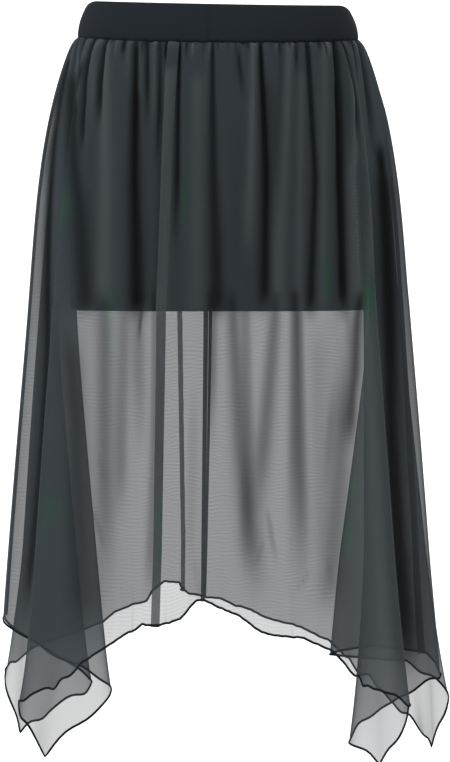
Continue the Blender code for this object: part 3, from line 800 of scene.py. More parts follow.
class Cloth:
    """The chiffon's surface: points, hollows, masks of painted shade and painted highlight, and
    colour masks for places and heights.
    """

    def __init__(self, look):
        self.folds = fold_lines()
        self.creases = crease_paths(self.folds)
        self.pleats = pleat_paths(self.folds)
        self.hem = hem_line(self.folds)
        self.look = look

    def hem_height(self, around):
        """Height of the hem for places round."""
        place = wrapped(self.folds, around)
        height = np.interp(place, *self.hem, period=GATHERS)
        return height + self.lobe(height) ** 2 * uneven(place, HEM_EDGE_WAVES)

    def lobe(self, height):
        """How much livelier the hem is on its hanging points than on the walls."""
        return 1 + LOBE["gain"] * smooth_step((LOBE["start"] - height) / LOBE["reach"])

    def top_height(self, around):
        """Height of the cloth's top edge for places round."""
        return seam_edge(wrapped(self.folds, around))

    def folded(self, around, z):
        """Plan points with every small fold, the painted shade of the hollows and the painted
        highlight of the ridges.
        """
        place = wrapped(self.folds, around)
        x, y, drop = cloth_plan(self.folds, place, z)
        x_a, y_a, _ = cloth_plan(self.folds, wrapped(self.folds, place - LOOK_AHEAD), z)
        x_b, y_b, _ = cloth_plan(self.folds, wrapped(self.folds, place + LOOK_AHEAD), z)
        length = np.hypot(x_b - x_a, y_b - y_a)
        pace = length / (2 * LOOK_AHEAD)
        along_x, along_y = (x_b - x_a) / length, (y_b - y_a) / length
        push = RIDGE_DEPTH * np.exp(-drop / RIDGE_FADE) + SOFT_DEPTH * np.exp(-drop / SOFT_FADE)
        without_shade = np.ones_like(push)
        without_highlight = np.ones_like(push)
        for line in self.creases:
            trough = self.trough(line, place, z, pace)
            push = push - line["depth"] * self.look.gather_depth * trough
            # A ridge's shade value is a painted highlight, a hollow's is painted shade
            if line["depth"] < 0:
                without_highlight = without_highlight * (1 - line["shade"] * trough)
            else:
                without_shade = without_shade * (1 - line["shade"] * trough)
        push = push * (1 - np.exp(-drop / SHOULDER))
        hem = self.hem_height(place)
        ruffle = uneven(place, HEM_WAVES) * np.exp(-(z - hem) / HEM_WAVE_REACH) * self.lobe(hem)
        push = push + self.look.ruffle_depth / MM * ruffle
        slide = np.zeros_like(push)
        for pleat in self.pleats:
            widths = (pleat["width_top"], pleat["width_end"])
            width = np.interp(-z, (-SEAM_EASE_Z, -LOW_Z), widths)
            across = np.clip(away_from(pleat, place, z, pace) / (width / 2), -1.0, 1.0)
            slide = slide - PLEAT_SLIDE * width * np.sin(np.pi * across)
            push = push - pleat["way"] * pleat["lift"] * np.sin(np.pi * across)
        x = x - along_y * push + along_x * slide
        y = y + along_x * push + along_y * slide
        return x, y, 1 - without_shade, 1 - without_highlight

    def trough(self, line, place, z, pace):
        """How far each point lies in one hollow or on one ridge, from 0 to 1."""
        length = line["z_top"] - line["z_end"]
        share = (line["z_top"] - z) / length
        width = line["width"] + (line["spread"] - line["width"]) * np.clip(share, 0.0, 1.0)
        away = away_from(line, place, z, pace) / width
        ease = np.interp(-line["z_top"], HOLLOW_EASE["drop"], HOLLOW_EASE["length"])
        ease = ease * max(1.0, line["width"] / WIDE_HOLLOW)
        if length < 2 * ease:
            ease = length / 4
        begin = smooth_step((line["z_top"] - z) / ease)
        end = 1 - smooth_step((share - 1 + line["fade"]) / line["fade"])
        return np.exp(-away ** 2) * begin * end

    def points(self, around, z, inset=CLOTH_WALL / 2):
        """Points in millimetres, moved in from the outer face, with the painted shade of their
        hollows and the painted highlight of their ridges.
        """
        x, y, hollow, crest = self.folded(around, z)
        x_a, y_a, _, _ = self.folded(around - LOOK_AHEAD / 2, z)
        x_b, y_b, _, _ = self.folded(around + LOOK_AHEAD / 2, z)
        length = np.maximum(np.hypot(x_b - x_a, y_b - y_a), TINY)
        inward_x, inward_y = (y_b - y_a) / length, -(x_b - x_a) / length
        points = np.stack([x + inward_x * inset, y + inward_y * inset, z], axis=-1)
        return points, hollow, crest

    def cover(self, around, z):
        """How far the closely gathered cloth stops the light, from 0 to 1."""
        open_share = np.ones_like(z)
        for row in COVERS:
            cover = dict(zip(COVER, row))
            across = gathers_away(around, cover["place"]) / cover["spread"]
            along = (z - cover["z"]) / cover["reach"]
            open_share = open_share * (1 - cover["strength"] * np.exp(-across ** 4 - along ** 4))
        return 1 - open_share

    def spots(self, around, z):
        """How strongly the green streaks show, from 0 to 1."""
        total = np.zeros_like(z)
        for row in SPOTS:
            spot = dict(zip(SPOT, row))
            centre = spot["x"]
            if spot["wall"] != "side":
                centre = place_on_wall(self.folds, spot["wall"], spot["x"], spot["z"])
            across = gathers_away(around, centre) * GATHER_LENGTH
            far = np.hypot(across, (z - spot["z"]) * SPOT_FLATTEN) / spot["size"]
            total = np.maximum(total, spot["strength"] * np.exp(-far ** 2))
        return total


def panel_ends(start, end):
    """The places round where a panel starts and ends."""
    first, last = SEAM_PLACES[start], SEAM_PLACES[end]
    if end == "front":
        last += GATHERS
    return first, last


def spread_columns(cloth, first, last):
    """Places round for one panel's columns, closer together where a pleat folds over."""
    places = np.linspace(first, last, RING_STEPS)
    density = np.ones_like(places)
    for pleat in cloth.pleats:
        low, high = pleat["places"].min(), pleat["places"].max()
        middle = wrapped(cloth.folds, (low + high) / 2)
        reach = (high - low) / 2 + PLEAT_REACH
        density = density + PLEAT_FINENESS * (np.abs(places - middle) < reach)
    total = np.concatenate([[0.0], np.cumsum((density[1:] + density[:-1]) / 2)])
    total = total * (last - first) / (RING_STEPS - 1)
    count = int(round(total[-1] / COLUMN_STEP))
    return np.interp(np.linspace(0.0, total[-1], count + 1), total, places)


def row_heights(top, hem):
    """Heights from the seam to the hem, closer together at the gathers."""
    near = TOP_REACH * np.linspace(0.0, 1.0, TOP_ROWS)[:, None] ** TOP_POWER * np.ones_like(top)
    share = np.linspace(0.0, 1.0, ROWS - TOP_ROWS + 1)[1:, None]
    far = TOP_REACH + share * (top - hem - TOP_REACH)
    return top - np.concatenate([near, far])


# Meshes

def shaped_grid(points):
    """A grid of faces that is shaped by the points, given row by row."""
    rows, columns = points.shape[:2]
    body = bmesh.new()
    grid = bmesh.ops.create_grid(body, x_segments=columns - 1, y_segments=rows - 1, size=1.0)
    for vertex, place in zip(grid["verts"], points.reshape(-1, 3)):
        vertex.co = place * MM
    return body


def smooth_item(name, body, collection):
    """A smoothly shaded object from a bmesh, which is used up."""
    mesh = bpy.data.meshes.new(name)
    body.to_mesh(mesh)
    body.free()
    mesh.shade_smooth()
    item = bpy.data.objects.new(name, mesh)
    collection.objects.link(item)
    return item


def cloth_mesh(name, points, collection):
    """An open sheet through the points, with a row of them for each height."""
    return smooth_item(name, shaped_grid(points), collection)


def tube_mesh(name, rings, collection):
    """A closed tube through rings of points, with its ends filled."""
    body = shaped_grid(rings)
    bmesh.ops.remove_doubles(body, verts=body.verts, dist=TINY)
    open_edges = [edge for edge in body.edges if edge.is_boundary]
    bmesh.ops.holes_fill(body, edges=open_edges, sides=0)
    bmesh.ops.recalc_face_normals(body, faces=body.faces)
    return smooth_item(name, body, collection)


def ring_mesh(name, points, marks, collection):
    """A sheet that runs round the waist, with its doubles merged where its ends meet."""
    item = cloth_mesh(name, points, collection)
    mesh = item.data
    across = np.broadcast_to(np.linspace(0.0, BAND_LENGTH, points.shape[1]), marks.shape)
    give_uv(mesh, across, points[:, :, 2] * MM)
    give_attributes(mesh, hollow=marks)
    body = bmesh.new()
    body.from_mesh(mesh)
    bmesh.ops.remove_doubles(body, verts=body.verts, dist=TINY)
    bmesh.ops.recalc_face_normals(body, faces=body.faces)
    body.to_mesh(mesh)
    body.free()
    return item


def ring_row(around, half_width, half_depth, ripple, z):
    """One row of points round the waist, moved out by its ripple."""
    x, y = ring(around, half_width, half_depth)
    base_x, base_y = ring(around, SEAM_HALF_WIDTH, SEAM_HALF_DEPTH)
    unit = np.hypot(base_x, base_y)
    return np.stack([x + ripple * base_x / unit, y + ripple * base_y / unit, z], axis=1)


def give_uv(mesh, across, along):
    """The cloth's own map, in metres round and up."""
    layer = mesh.uv_layers.new(name="cloth")
    corner = np.empty(len(mesh.loops), dtype=np.int32)
    mesh.loops.foreach_get("vertex_index", corner)
    uv = np.stack([across.reshape(-1)[corner], along.reshape(-1)[corner]], axis=1)
    layer.data.foreach_set("uv", uv.reshape(-1).astype(np.float32))


def give_attributes(mesh, **masks):
    """Masks from 0 to 1 that the materials read at the mesh's points."""
    for name, values in masks.items():
        layer = mesh.attributes.new(name=name, type="FLOAT", domain="POINT")
        layer.data.foreach_set("value", values.reshape(-1).astype(np.float32))


def collection_for(name):
    """The collection of this name, made when it is first asked for."""
    found = bpy.data.collections.get(name)
    if found is None:
        found = bpy.data.collections.new(name)
        bpy.context.scene.collection.children.link(found)
    return found


# Materials

class Nodes:
    """Short calls for building one material's node tree."""

    def __init__(self, name, finish):
        self.material = bpy.data.materials.new(name)
        self.material.use_nodes = True
        self.tree = self.material.node_tree
        self.shader = self.tree.nodes["Principled BSDF"]
        for socket, value in finish["shader"].items():
            self.shader.inputs[socket].default_value = value

    def add(self, kind, **settings):
        """A new node with its settings."""
        node = self.tree.nodes.new(kind)
        for key, value in settings.items():
            setattr(node, key, value)
        return node

    def join(self, source, target):
        """Links two sockets."""
        self.tree.links.new(source, target)

    def feed(self, socket, value):
        """Gives a socket a link or a plain value."""
        if hasattr(value, "links"):
            self.join(value, socket)
        else:
            socket.default_value = value

    def math(self, operation, first, second=0.0, third=0.0, clamp=False):
        """One step of arithmetic on links or plain values."""
        node = self.add("ShaderNodeMath", operation=operation, use_clamp=clamp)
        for socket, value in zip(node.inputs, (first, second, third)):
            self.feed(socket, value)
        return node.outputs[0]

    def mix(self, share, first, second):
        """A colour between two."""
        node = self.add("ShaderNodeMix", data_type="RGBA")
        self.feed(node.inputs["Factor"], share)
        self.feed(node.inputs[MIX_FIRST], first)
        self.feed(node.inputs[MIX_SECOND], second)
        return node.outputs[MIX_RESULT]

    def tint(self, mask, share, colour, second):
        """The colour, taken towards a second one where the mask shows."""
        return self.mix(self.math("MULTIPLY", mask, share), colour, second)

    def attribute(self, name):
        """A mask from the mesh's points."""
        return self.add("ShaderNodeAttribute", attribute_name=name).outputs["Fac"]

    def mapped(self, source, scale):
        """Coordinates stretched by a scale for each direction."""
        mapping = self.add("ShaderNodeMapping")
        mapping.inputs["Scale"].default_value = scale
        self.join(source, mapping.inputs["Vector"])
        return mapping.outputs["Vector"]

    def uv(self, scale=EVEN):
        """Places along the cloth, in metres."""
        return self.mapped(self.add("ShaderNodeUVMap", uv_map="cloth").outputs["UV"], scale)

    def place(self, scale=EVEN):
        """Places in the object's own frame, in metres."""
        return self.mapped(self.add("ShaderNodeTexCoord").outputs["Object"], scale)

    def noise(self, vector, scale, detail, roughness):
        """Cloudy texture, from 0 to 1."""
        node = self.add("ShaderNodeTexNoise")
        self.join(vector, node.inputs["Vector"])
        node.inputs["Scale"].default_value = scale
        node.inputs["Detail"].default_value = detail
        node.inputs["Roughness"].default_value = roughness
        return node.outputs["Fac"]

    def wave(self, vector, scale, direction, distortion=0.0, detail=0.0, detail_scale=1.0):
        """Parallel bands, from 0 to 1."""
        node = self.add("ShaderNodeTexWave", bands_direction=direction)
        self.join(vector, node.inputs["Vector"])
        node.inputs["Scale"].default_value = scale
        node.inputs["Distortion"].default_value = distortion
        node.inputs["Detail"].default_value = detail
        node.inputs["Detail Scale"].default_value = detail_scale
        return node.outputs["Fac"]

    def bump(self, height, strength, distance):
        """Raises the surface by a texture, by so many metres."""
        node = self.add("ShaderNodeBump")
        node.inputs["Strength"].default_value = strength
        node.inputs["Distance"].default_value = distance
        self.join(height, node.inputs["Height"])
        self.join(node.outputs["Normal"], self.shader.inputs["Normal"])


def shades(colour, factors):
    """A colour made darker or lighter, once for each factor."""
    return [tuple(channel * factor for channel in colour[:3]) + (1.0,) for factor in factors]


def tint_from(nodes, mask, colour, base, share, factor):
    """The colour, taken towards a shade of the base where the mask shows."""
    return nodes.tint(mask, share, colour, shades(base, [factor])[0])


def chiffon_material(look):
    """Sheer crepe chiffon: denser where it slants away or lies deep in a fold, with painted
    shade in its creases and painted highlights on its ridges.
    """
    nodes = Nodes("sheer_chiffon", CHIFFON)
    vector = nodes.uv()
    weave = nodes.math(
        "MULTIPLY",
        nodes.wave(vector, direction="X", **CHIFFON["thread"]),
        nodes.wave(vector, direction="Y", **CHIFFON["thread"]),
    )
    crepe = nodes.noise(vector, **CHIFFON["crepe"])
    height = nodes.add("ShaderNodeSeparateXYZ")
    nodes.join(vector, height.inputs["Vector"])
    moire = nodes.math(
        "MULTIPLY",
        nodes.wave(nodes.uv(CHIFFON["moire_stretch"]), **CHIFFON["moire"]),
        nodes.math("MULTIPLY_ADD", height.outputs["Y"], *CHIFFON["moire_by_height"], clamp=True),
    )
    patches = nodes.noise(vector, **CHIFFON["patches"])
    hollow, crest, spot, cover = map(nodes.attribute, ("hollow", "crest", "spot", "cover"))
    breaks = nodes.noise(nodes.uv(CHIFFON["breaks_stretch"]), **CHIFFON["breaks"])
    breaks = nodes.math("MULTIPLY_ADD", breaks, *CHIFFON["breaks_contrast"], clamp=True)

    colour = nodes.mix(patches, *shades(look.colour, CHIFFON["shades"]))
    colour = tint_from(nodes, weave, colour, look.colour, *CHIFFON["weave_tint"])
    # Painted highlight: a lighter colour on the ridges
    colour = nodes.mix(crest, colour, CHIFFON["crest_colour"])
    colour = nodes.tint(spot, breaks, colour, tuple(look.spot_colour) + (1.0,))
    # Painted shade: near black in the creases, puckers and dark gaps, and darker on the seam
    # allowances
    colour = nodes.tint(hollow, CHIFFON["hollow_share"], colour, CHIFFON["hollow_colour"])
    nodes.join(colour, nodes.shader.inputs["Base Color"])

    # A slanting layer is seen through more cloth, and so lets less light through
    facing = nodes.add("ShaderNodeLayerWeight")
    facing.inputs["Blend"].default_value = CHIFFON["facing_blend"]
    straight = nodes.math("SUBTRACT", 1.0, facing.outputs["Facing"])
    slant = nodes.math("DIVIDE", 1.0, nodes.math("MAXIMUM", straight, CHIFFON["least_straight"]))
    slant = nodes.math("POWER", slant, CHIFFON["slant_power"])
    through = nodes.math("POWER", 1.0 - look.density, slant)
    woven = nodes.math("MULTIPLY_ADD", weave, *CHIFFON["weave_light"])
    woven = nodes.math("MULTIPLY_ADD", moire, CHIFFON["moire_light"], woven)
    woven = nodes.math("MULTIPLY_ADD", crepe, CHIFFON["crepe_light"], woven)
    through = nodes.math("MULTIPLY", through, woven)
    for mask, loss in ((hollow, "hollow_light"), (cover, "cover_light")):
        kept = nodes.math("MULTIPLY_ADD", mask, CHIFFON[loss], 1.0)
        through = nodes.math("MULTIPLY", through, kept)
    alpha = nodes.math("SUBTRACT", 1.0, through, clamp=True)
    nodes.join(alpha, nodes.shader.inputs["Alpha"])
    nodes.bump(weave, *CHIFFON["bump"])
    return nodes.material


def thread_material(look):
    """Dark overlock thread wound round the rolled hem."""
    nodes = Nodes("rolled_hem", THREAD)
    vector = nodes.place()
    twist = nodes.noise(vector, **THREAD["twist"])
    patch = nodes.noise(vector, **THREAD["patch"])
    colour = nodes.mix(twist, *shades(look.hem_colour, THREAD["shades"]))
    colour = tint_from(nodes, patch, colour, look.hem_colour, *THREAD["patch_tint"])
    nodes.join(colour, nodes.shader.inputs["Base Color"])
    nodes.bump(twist, *THREAD["bump"])
    return nodes.material


def jersey_material(look):
    """Fine matt jersey over elastic, with its tiny ribs and faint rubbed patches."""
    nodes = Nodes("waist_jersey", JERSEY)
    vector = nodes.uv()
    rib = nodes.wave(vector, **JERSEY["rib"])
    course = nodes.wave(vector, **JERSEY["course"])
    fleck = nodes.noise(vector, **JERSEY["fleck"])
    worn = nodes.noise(vector, **JERSEY["worn"])
    seam = nodes.attribute("hollow")
    colour = nodes.mix(fleck, *shades(look.colour, JERSEY["shades"]))
    colour = tint_from(nodes, worn, colour, look.colour, *JERSEY["worn_tint"])
    colour = tint_from(nodes, seam, colour, look.colour, *JERSEY["seam_tint"])
    nodes.join(colour, nodes.shader.inputs["Base Color"])
    height = nodes.math("ADD", nodes.math("MULTIPLY", rib, course), fleck)
    nodes.bump(height, *JERSEY["bump"])
    return nodes.material


def slip_material(look):
    """Smooth opaque lining cloth with a faint crosswise grain."""
    nodes = Nodes("slip_lining", LINING)
    vector = nodes.uv()
    thread = nodes.wave(vector, **LINING["thread"])
    grain = nodes.noise(vector, **LINING["grain"])
    drift = nodes.noise(vector, **LINING["drift"])
    stitch = nodes.attribute("hollow")
    colour = nodes.mix(grain, *shades(look.colour, LINING["shades"]))
    colour = tint_from(nodes, drift, colour, look.colour, *LINING["drift_tint"])
    colour = tint_from(nodes, stitch, colour, look.colour, *LINING["stitch_tint"])
    nodes.join(colour, nodes.shader.inputs["Base Color"])
    nodes.bump(nodes.math("ADD", thread, grain), *LINING["bump"])
    return nodes.material


def floor_material(look):
    """Plain pale floor with a barely visible cloudiness."""
    nodes = Nodes("pale_floor", FLOOR)
    cloud = nodes.noise(nodes.place(), **FLOOR["cloud"])
    colour = nodes.mix(cloud, *shades(look.floor_colour, FLOOR["shades"]))
    nodes.join(colour, nodes.shader.inputs["Base Color"])
    return nodes.material


# What a user would change

class ChiffonLook(bpy.types.PropertyGroup):
    """The sheer panels"""

    colour: FloatVectorProperty(
        name="Colour",
        description="The chiffon's own colour, an anthracite with a hint of green",
        default=(0.055, 0.067, 0.076), size=3, min=0.0, max=1.0, subtype="COLOR",
    )
    spot_colour: FloatVectorProperty(
        name="Spot colour", description="The greener tint of the faint spots",
        default=(0.022, 0.115, 0.060), size=3, min=0.0, max=1.0, subtype="COLOR",
    )
    density: FloatProperty(
        name="Density", description="How much one layer covers of what lies behind it",
        default=0.59, min=0.0, max=1.0, subtype="FACTOR",
    )
    gather_depth: FloatProperty(
        name="Gather depth", description="Depth of the gathers' hollows against their table",
        default=1.0, min=0.0, max=1.5, subtype="FACTOR",
    )
    ruffle_depth: FloatProperty(
        name="Hem ruffle", description="Height of the small waves along the hem",
        default=0.001, min=0.0, max=0.003, subtype="DISTANCE", unit="LENGTH",
    )


class HemLook(bpy.types.PropertyGroup):
    """The rolled hems"""

    hem_colour: FloatVectorProperty(
        name="Hem colour", description="Colour of the rolled hem and its thread",
        default=(0.013, 0.017, 0.020), size=3, min=0.0, max=1.0, subtype="COLOR",
    )
    height: FloatProperty(
        name="Hem height", description="Height of the rolled hem",
        default=0.0027, min=0.001, max=0.006, subtype="DISTANCE", unit="LENGTH",
    )
    thickness: FloatProperty(
        name="Hem thickness", description="Thickness of the rolled hem",
        default=0.0018, min=0.0005, max=0.004, subtype="DISTANCE", unit="LENGTH",
    )


class BandLook(bpy.types.PropertyGroup):
    """The waistband"""

    colour: FloatVectorProperty(
        name="Colour", description="Colour of the jersey over the elastic",
        default=(0.0150, 0.0195, 0.0245), size=3, min=0.0, max=1.0, subtype="COLOR",
    )
    wall: FloatProperty(
        name="Wall", description="Thickness of the band with its elastic",
        default=0.003, min=0.001, max=0.004, subtype="DISTANCE", unit="LENGTH",
    )
    columns: IntProperty(
        name="Columns", description="Mesh columns round the band", default=360, min=48, max=720,
    )


class SlipLook(bpy.types.PropertyGroup):
    """The slip"""

    colour: FloatVectorProperty(
        name="Colour", description="Colour of the opaque slip",
        default=(0.010, 0.012, 0.014), size=3, min=0.0, max=1.0, subtype="COLOR",
    )
    hem_fold: FloatProperty(
        name="Hem fold", description="Height of the slip's turned-up hem",
        default=0.016, min=0.005, max=0.04, subtype="DISTANCE", unit="LENGTH",
    )


class StudioLook(bpy.types.PropertyGroup):
    """The floor and the light"""

    floor_z: FloatProperty(
        name="Floor height", description="Height of the floor below the waist",
        default=-1.06, min=-2.0, max=-0.86, subtype="DISTANCE", unit="LENGTH",
    )
    floor_colour: FloatVectorProperty(
        name="Floor colour", description="Colour of the plain floor",
        default=(0.82, 0.82, 0.81), size=3, min=0.0, max=1.0, subtype="COLOR",
    )
    backdrop: FloatProperty(
        name="Backdrop", description="Brightness of the white behind the skirt",
        default=1.5, min=0.0, max=4.0,
    )
    fill: FloatProperty(
        name="Fill light", description="Brightness of the soft light from all round",
        default=0.32, min=0.0, max=2.0,
    )


class SkirtSettings(bpy.types.PropertyGroup):
    """All settings, a group for each button"""

    chiffon: PointerProperty(type=ChiffonLook)
    hem: PointerProperty(type=HemLook)
    band: PointerProperty(type=BandLook)
    slip: PointerProperty(type=SlipLook)
    studio: PointerProperty(type=StudioLook)


# Operators, one for each group of pieces

class SKIRT_OT_chiffon(bpy.types.Operator):
    """Hang the four sheer panels from the waist seam"""

    bl_idname = "skirt.chiffon"
    bl_label = "Chiffon panels"

    def execute(self, context):
        settings = context.scene.skirt
        cloth = Cloth(settings.chiffon)
        collection = collection_for("chiffon")
        material = chiffon_material(settings.chiffon)
        for name, node, start, end in PANELS:
            around = spread_columns(cloth, *panel_ends(start, end))
            z = row_heights(cloth.top_height(around) - SEAM_GAP, cloth.hem_height(around))
            places = np.broadcast_to(around, z.shape)
            flat_places, flat_z = places.reshape(-1), z.reshape(-1)
            points, hollow, crest = cloth.points(flat_places, flat_z)
            item = cloth_mesh(name, points.reshape(z.shape + (3,)), collection)
            give_uv(item.data, flat_places * GATHER_LENGTH * MM, flat_z * MM)
            give_attributes(
                item.data, hollow=hollow, crest=crest,
                spot=cloth.spots(flat_places, flat_z), cover=cloth.cover(flat_places, flat_z),
            )
            item.data.materials.append(material)
            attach(item, BODY)
            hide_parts(node)
        return {"FINISHED"}


class SKIRT_OT_hems(bpy.types.Operator):
    bl_idname = "skirt.hems"
    bl_label = "Rolled hems and seams"

    def execute(self, context):
        settings = context.scene.skirt
        cloth = Cloth(settings.chiffon)
        collection = collection_for("chiffon")
        thread = thread_material(settings.hem)
        for name, _, start, end in PANELS:
            around = spread_columns(cloth, *panel_ends(start, end))
            hem = self.rolled_hem(name, cloth, around, settings.hem, collection)
            hem.data.materials.append(thread)
            allowance = self.allowance(name, cloth, end, collection)
            allowance.data.materials.append(bpy.data.materials["sheer_chiffon"])
            for item in (hem, allowance):
                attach(item, BODY)
        return {"FINISHED"}

    def rolled_hem(self, name, cloth, around, look, collection):
        """The panel's edge rolled into a narrow tube."""
        z = cloth.hem_height(around)
        line, _, _ = cloth.points(around, z)
        inner, _, _ = cloth.points(around, z, CLOTH_WALL)
        outward = line - inner
        outward /= np.linalg.norm(outward, axis=1, keepdims=True)
        forward = np.gradient(line, axis=0)
        upward = np.cross(forward, outward)
        upward *= np.sign(upward[:, 2:])
        upward /= np.linalg.norm(upward, axis=1, keepdims=True)
        rings = []
        for angle in np.linspace(0.0, 2 * np.pi, HEM_SIDES + 1):
            across = look.thickness / MM / 2 * np.sin(angle)
            along = look.height / MM / 2 * (1 + np.cos(angle)) - HEM_HANG
            rings.append(line + outward * across + upward * along)
        return tube_mesh(name.replace("chiffon", "hem"), np.array(rings), collection)

    def allowance(self, name, cloth, end, collection):
        """Two layers of cloth pressed back along the panel's own seam."""
        place = np.array([SEAM_PLACES[end]])
        heights = row_heights(cloth.top_height(place) - SEAM_GAP, cloth.hem_height(place))
        z = np.broadcast_to(heights, (ROWS, ALLOWANCE_COLUMNS)).copy()
        drop = (heights[0] - heights) / (heights[0] - heights[-1])
        width = ALLOWANCE_TOP + (ALLOWANCE_END - ALLOWANCE_TOP) * drop
        paces = [GATHER_LENGTH * share for share in ALLOWANCE_PACE]
        pace = np.interp(-heights, (0.0, -LOW_Z), paces)
        layers = []
        for layer in range(2):
            far = ALLOWANCE_FAR - ALLOWANCE_STEP * layer
            share = np.linspace(ALLOWANCE_NEAR, far, ALLOWANCE_COLUMNS)
            around = place + ALLOWANCE_WAYS[end] * share * width / pace
            inset = CLOTH_WALL + ALLOWANCE_GAP * layer
            points, _, _ = cloth.points(around.reshape(-1), z.reshape(-1), inset)
            layers.append(points.reshape(z.shape + (3,)))
        both = np.concatenate([layers[0], layers[1][:, ::-1]], axis=1)
        item = cloth_mesh(name.replace("chiffon", "seam"), both, collection)
        none = np.zeros(both.shape[:2])
        give_uv(item.data, both[:, :, 0] * MM, (none + heights) * MM)
        give_attributes(
            item.data, hollow=none + ALLOWANCE_DARKNESS, crest=none, spot=none, cover=none,
        )
        return item


class SKIRT_OT_waistband(bpy.types.Operator):
    """Knit the wide stretch waistband as one ring with rounded edges"""

    bl_idname = "skirt.waistband"
    bl_label = "Waistband"

    def execute(self, context):
        look = context.scene.skirt.band
        around = np.linspace(0.0, GATHERS, look.columns + 1)
        base_x, base_y = ring(around, SEAM_HALF_WIDTH, SEAM_HALF_DEPTH)
        bottom = seam_height(base_x, base_y)
        top = band_top_height(base_x * (1 - BAND_TOP_INSET / SEAM_HALF_WIDTH), base_y)
        rows, marks = [], []
        for share, out in self.outline(look.wall / MM):
            half_width = SEAM_HALF_WIDTH - BAND_TOP_INSET * share ** BAND_CURVE + out
            half_depth = SEAM_HALF_DEPTH - BAND_DEPTH_INSET * share ** BAND_CURVE + out
            pulled = uneven(around, SEAM_WAVES) * max(0.0, 1 - share / BAND_PULLED_SHARE)
            z = bottom + (top - bottom) * share + pulled
            rows.append(ring_row(around, half_width, half_depth, BAND_RIPPLE * pulled, z))
            marks.append(self.marks(around, share))
        item = ring_mesh("waistband", np.array(rows), np.array(marks), collection_for("waist"))
        item.data.materials.append(jersey_material(look))
        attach(item, BODY)
        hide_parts("waistband_front", "waistband_back")
        return {"FINISHED"}

    def outline(self, wall):
        """The band's cross-section, once round: shares of its height, and how far out."""
        sides = np.linspace(0.0, BAND_EDGE, BAND_SIDE_POINTS)
        outer = [(share, BAND_BULGE * np.sin(np.pi * share)) for share in sides]
        edge = []
        for turn in np.linspace(*BAND_EDGE_TURN, BAND_EDGE_POINTS):
            high = BAND_EDGE + (1.0 - BAND_EDGE) * np.sin(np.pi * turn)
            edge.append((high, -wall * (1 - np.cos(np.pi * turn)) / 2))
        sides = np.linspace(BAND_EDGE, 0.0, BAND_SIDE_POINTS)
        inner = [(share, BAND_BULGE * np.sin(np.pi * share) - wall) for share in sides]
        return outer + edge + inner + outer[:1]

    def marks(self, around, share):
        """How dark the seams and the lower edge, where the band meets the chiffon, are on one
        row.
        """
        mark = np.zeros_like(around)
        for place in BAND_SEAMS:
            depth, width = BAND_SEAM_MARK
            away = gathers_away(around, place) / width
            mark = np.maximum(mark, depth * np.exp(-away ** 2))
        depth, width = BAND_JOIN_MARK
        return np.maximum(mark, depth * np.exp(-(share / width) ** 2))


class SKIRT_OT_slip(bpy.types.Operator):
    """Hang the short opaque slip under the chiffon"""

    bl_idname = "skirt.slip"
    bl_label = "Slip"

    def execute(self, context):
        look = context.scene.skirt.slip
        around = np.linspace(0.0, GATHERS, SLIP_COLUMNS + 1)
        base_x, base_y = ring(around, SEAM_HALF_WIDTH, SEAM_HALF_DEPTH)
        top = seam_height(base_x, base_y) - SEAM_GAP
        top_width = SEAM_HALF_WIDTH - SLIP_INSET - SLIP_HALF_WALL
        top_depth = SEAM_HALF_DEPTH - SLIP_INSET - SLIP_HALF_WALL
        darkness, stitch_width = SLIP_STITCH_MARK
        rows, marks = [], []
        for share in np.linspace(0.0, 1.0, SLIP_ROWS):
            spread = share ** SLIP_SPREAD
            half_width = top_width + (SLIP_HEM_HALF_WIDTH - SLIP_HALF_WALL - top_width) * spread
            half_depth = top_depth + (SLIP_HEM_HALF_DEPTH - SLIP_HALF_WALL - top_depth) * spread
            z = top + (SLIP_HEM_Z - top) * share
            ripple = SLIP_RIPPLE * uneven(around, SLIP_WAVES) * share
            rows.append(ring_row(around, half_width, half_depth, ripple, z))
            from_fold = z - SLIP_HEM_Z - look.hem_fold / MM
            marks.append(darkness * np.exp(-(from_fold / stitch_width) ** 2))
        item = ring_mesh("slip", np.array(rows), np.array(marks), collection_for("waist"))
        item.data.materials.append(slip_material(look))
        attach(item, BODY)
        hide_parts("slip_front", "slip_back")
        return {"FINISHED"}


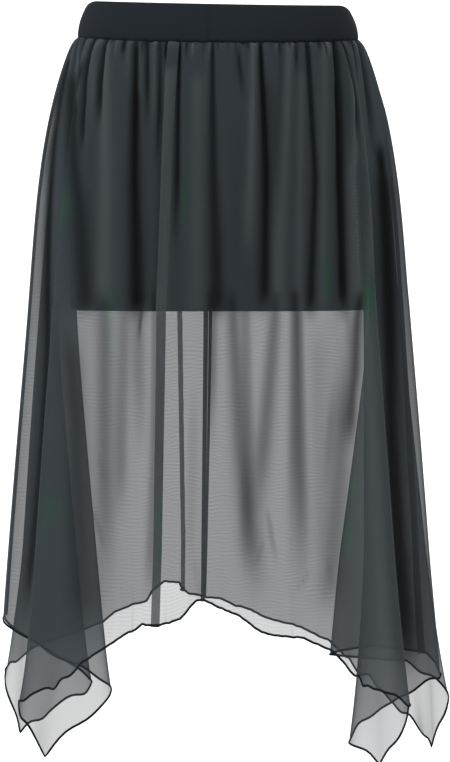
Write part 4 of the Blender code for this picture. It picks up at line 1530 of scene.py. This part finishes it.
class SKIRT_OT_studio(bpy.types.Operator):
    """Set the floor, soft lights, white backdrop and camera"""

    bl_idname = "skirt.studio"
    bl_label = "Studio"

    def execute(self, context):
        look = context.scene.skirt.studio
        self.floor(look)
        self.world(context, look)
        for row in LIGHTS:
            self.light(dict(zip(LIGHT, row)))
        self.camera(context)
        context.scene.view_settings.view_transform = "Standard"
        context.scene.cycles.transparent_max_bounces = LAYERS_SEEN
        return {"FINISHED"}

    def floor(self, look):
        """A plain round floor."""
        body = bmesh.new()
        bmesh.ops.create_circle(body, cap_ends=True, segments=FLOOR_SIDES, radius=FLOOR_RADIUS)
        bmesh.ops.translate(body, verts=body.verts, vec=(0.0, 0.0, look.floor_z))
        mesh = bpy.data.meshes.new("floor")
        body.to_mesh(mesh)
        body.free()
        item = bpy.data.objects.new("floor", mesh)
        collection_for("studio").objects.link(item)
        mesh.materials.append(floor_material(look))

    def world(self, context, look):
        """A white backdrop for the camera, and an even, weaker light on the skirt."""
        world = bpy.data.worlds.new("white_backdrop")
        context.scene.world = world
        world.use_nodes = True
        tree = world.node_tree
        background = tree.nodes["Background"]
        backdrop = tree.nodes.new("ShaderNodeBackground")
        backdrop.inputs["Strength"].default_value = look.backdrop
        backdrop.inputs["Color"].default_value = WHITE
        background.inputs["Color"].default_value = SKY_COLOUR
        background.inputs["Strength"].default_value = look.fill
        rays = tree.nodes.new("ShaderNodeLightPath")
        choose = tree.nodes.new("ShaderNodeMixShader")
        output = tree.nodes["World Output"]
        tree.links.new(rays.outputs["Is Camera Ray"], choose.inputs["Fac"])
        tree.links.new(background.outputs[0], choose.inputs[1])
        tree.links.new(backdrop.outputs[0], choose.inputs[2])
        tree.links.new(choose.outputs[0], output.inputs["Surface"])

    def light(self, row):
        """A soft rectangular light that points at the skirt."""
        light = bpy.data.lights.new(row["name"], "AREA")
        light.shape = "RECTANGLE"
        light.size = row["width"]
        light.size_y = row["height"]
        light.energy = row["watts"]
        item = bpy.data.objects.new(row["name"], light)
        item.location = row["place"]
        direction = Vector((np.array(AIM) - np.array(row["place"])).tolist())
        item.rotation_euler = direction.to_track_quat("-Z", "Y").to_euler()
        collection_for("studio").objects.link(item)

    def camera(self, context):
        """The camera, level and far away, framing the photo's height at the skirt."""
        camera = bpy.data.cameras.new("camera")
        camera.sensor_fit = "VERTICAL"
        camera.sensor_height = SENSOR
        camera.lens = SENSOR * CAMERA_PLACE[1] / -VIEW_HEIGHT
        camera.clip_end = VIEW_DEPTH
        item = bpy.data.objects.new("camera", camera)
        item.location = CAMERA_PLACE
        item.rotation_euler = (np.pi / 2, 0.0, 0.0)
        collection_for("studio").objects.link(item)
        context.scene.camera = item


class SKIRT_PT_maker(bpy.types.Panel):
    """The skirt's pieces, each with its own button and settings"""

    bl_label = "Handkerchief hem skirt"
    bl_idname = "SKIRT_PT_maker"
    bl_space_type = "VIEW_3D"
    bl_region_type = "UI"
    bl_category = "Skirt"

    def draw(self, context):
        settings = context.scene.skirt
        for group, operator in (
            (settings.chiffon, SKIRT_OT_chiffon),
            (settings.hem, SKIRT_OT_hems),
            (settings.band, SKIRT_OT_waistband),
            (settings.slip, SKIRT_OT_slip),
            (settings.studio, SKIRT_OT_studio),
        ):
            box = self.layout.box()
            box.operator(operator.bl_idname)
            for key in group.bl_rna.properties.keys():
                if key not in ("rna_type", "name"):
                    box.prop(group, key)


CLASSES = (
    ChiffonLook, HemLook, BandLook, SlipLook, StudioLook, SkirtSettings,
    SKIRT_OT_chiffon, SKIRT_OT_hems, SKIRT_OT_waistband, SKIRT_OT_slip, SKIRT_OT_studio,
    SKIRT_PT_maker,
)


def register():
    """Makes the settings, buttons and panel known to Blender."""
    for item in CLASSES:
        bpy.utils.register_class(item)
    bpy.types.Scene.skirt = PointerProperty(type=SkirtSettings)


def unregister():
    """Takes them away again."""
    del bpy.types.Scene.skirt
    for item in reversed(CLASSES):
        bpy.utils.unregister_class(item)


def main():
    """Builds every piece and the studio."""
    register()
    bpy.ops.skirt.chiffon()
    bpy.ops.skirt.waistband()
    bpy.ops.skirt.hems()
    bpy.ops.skirt.slip()
    bpy.ops.skirt.studio()


if __name__ == "__main__":
    main()
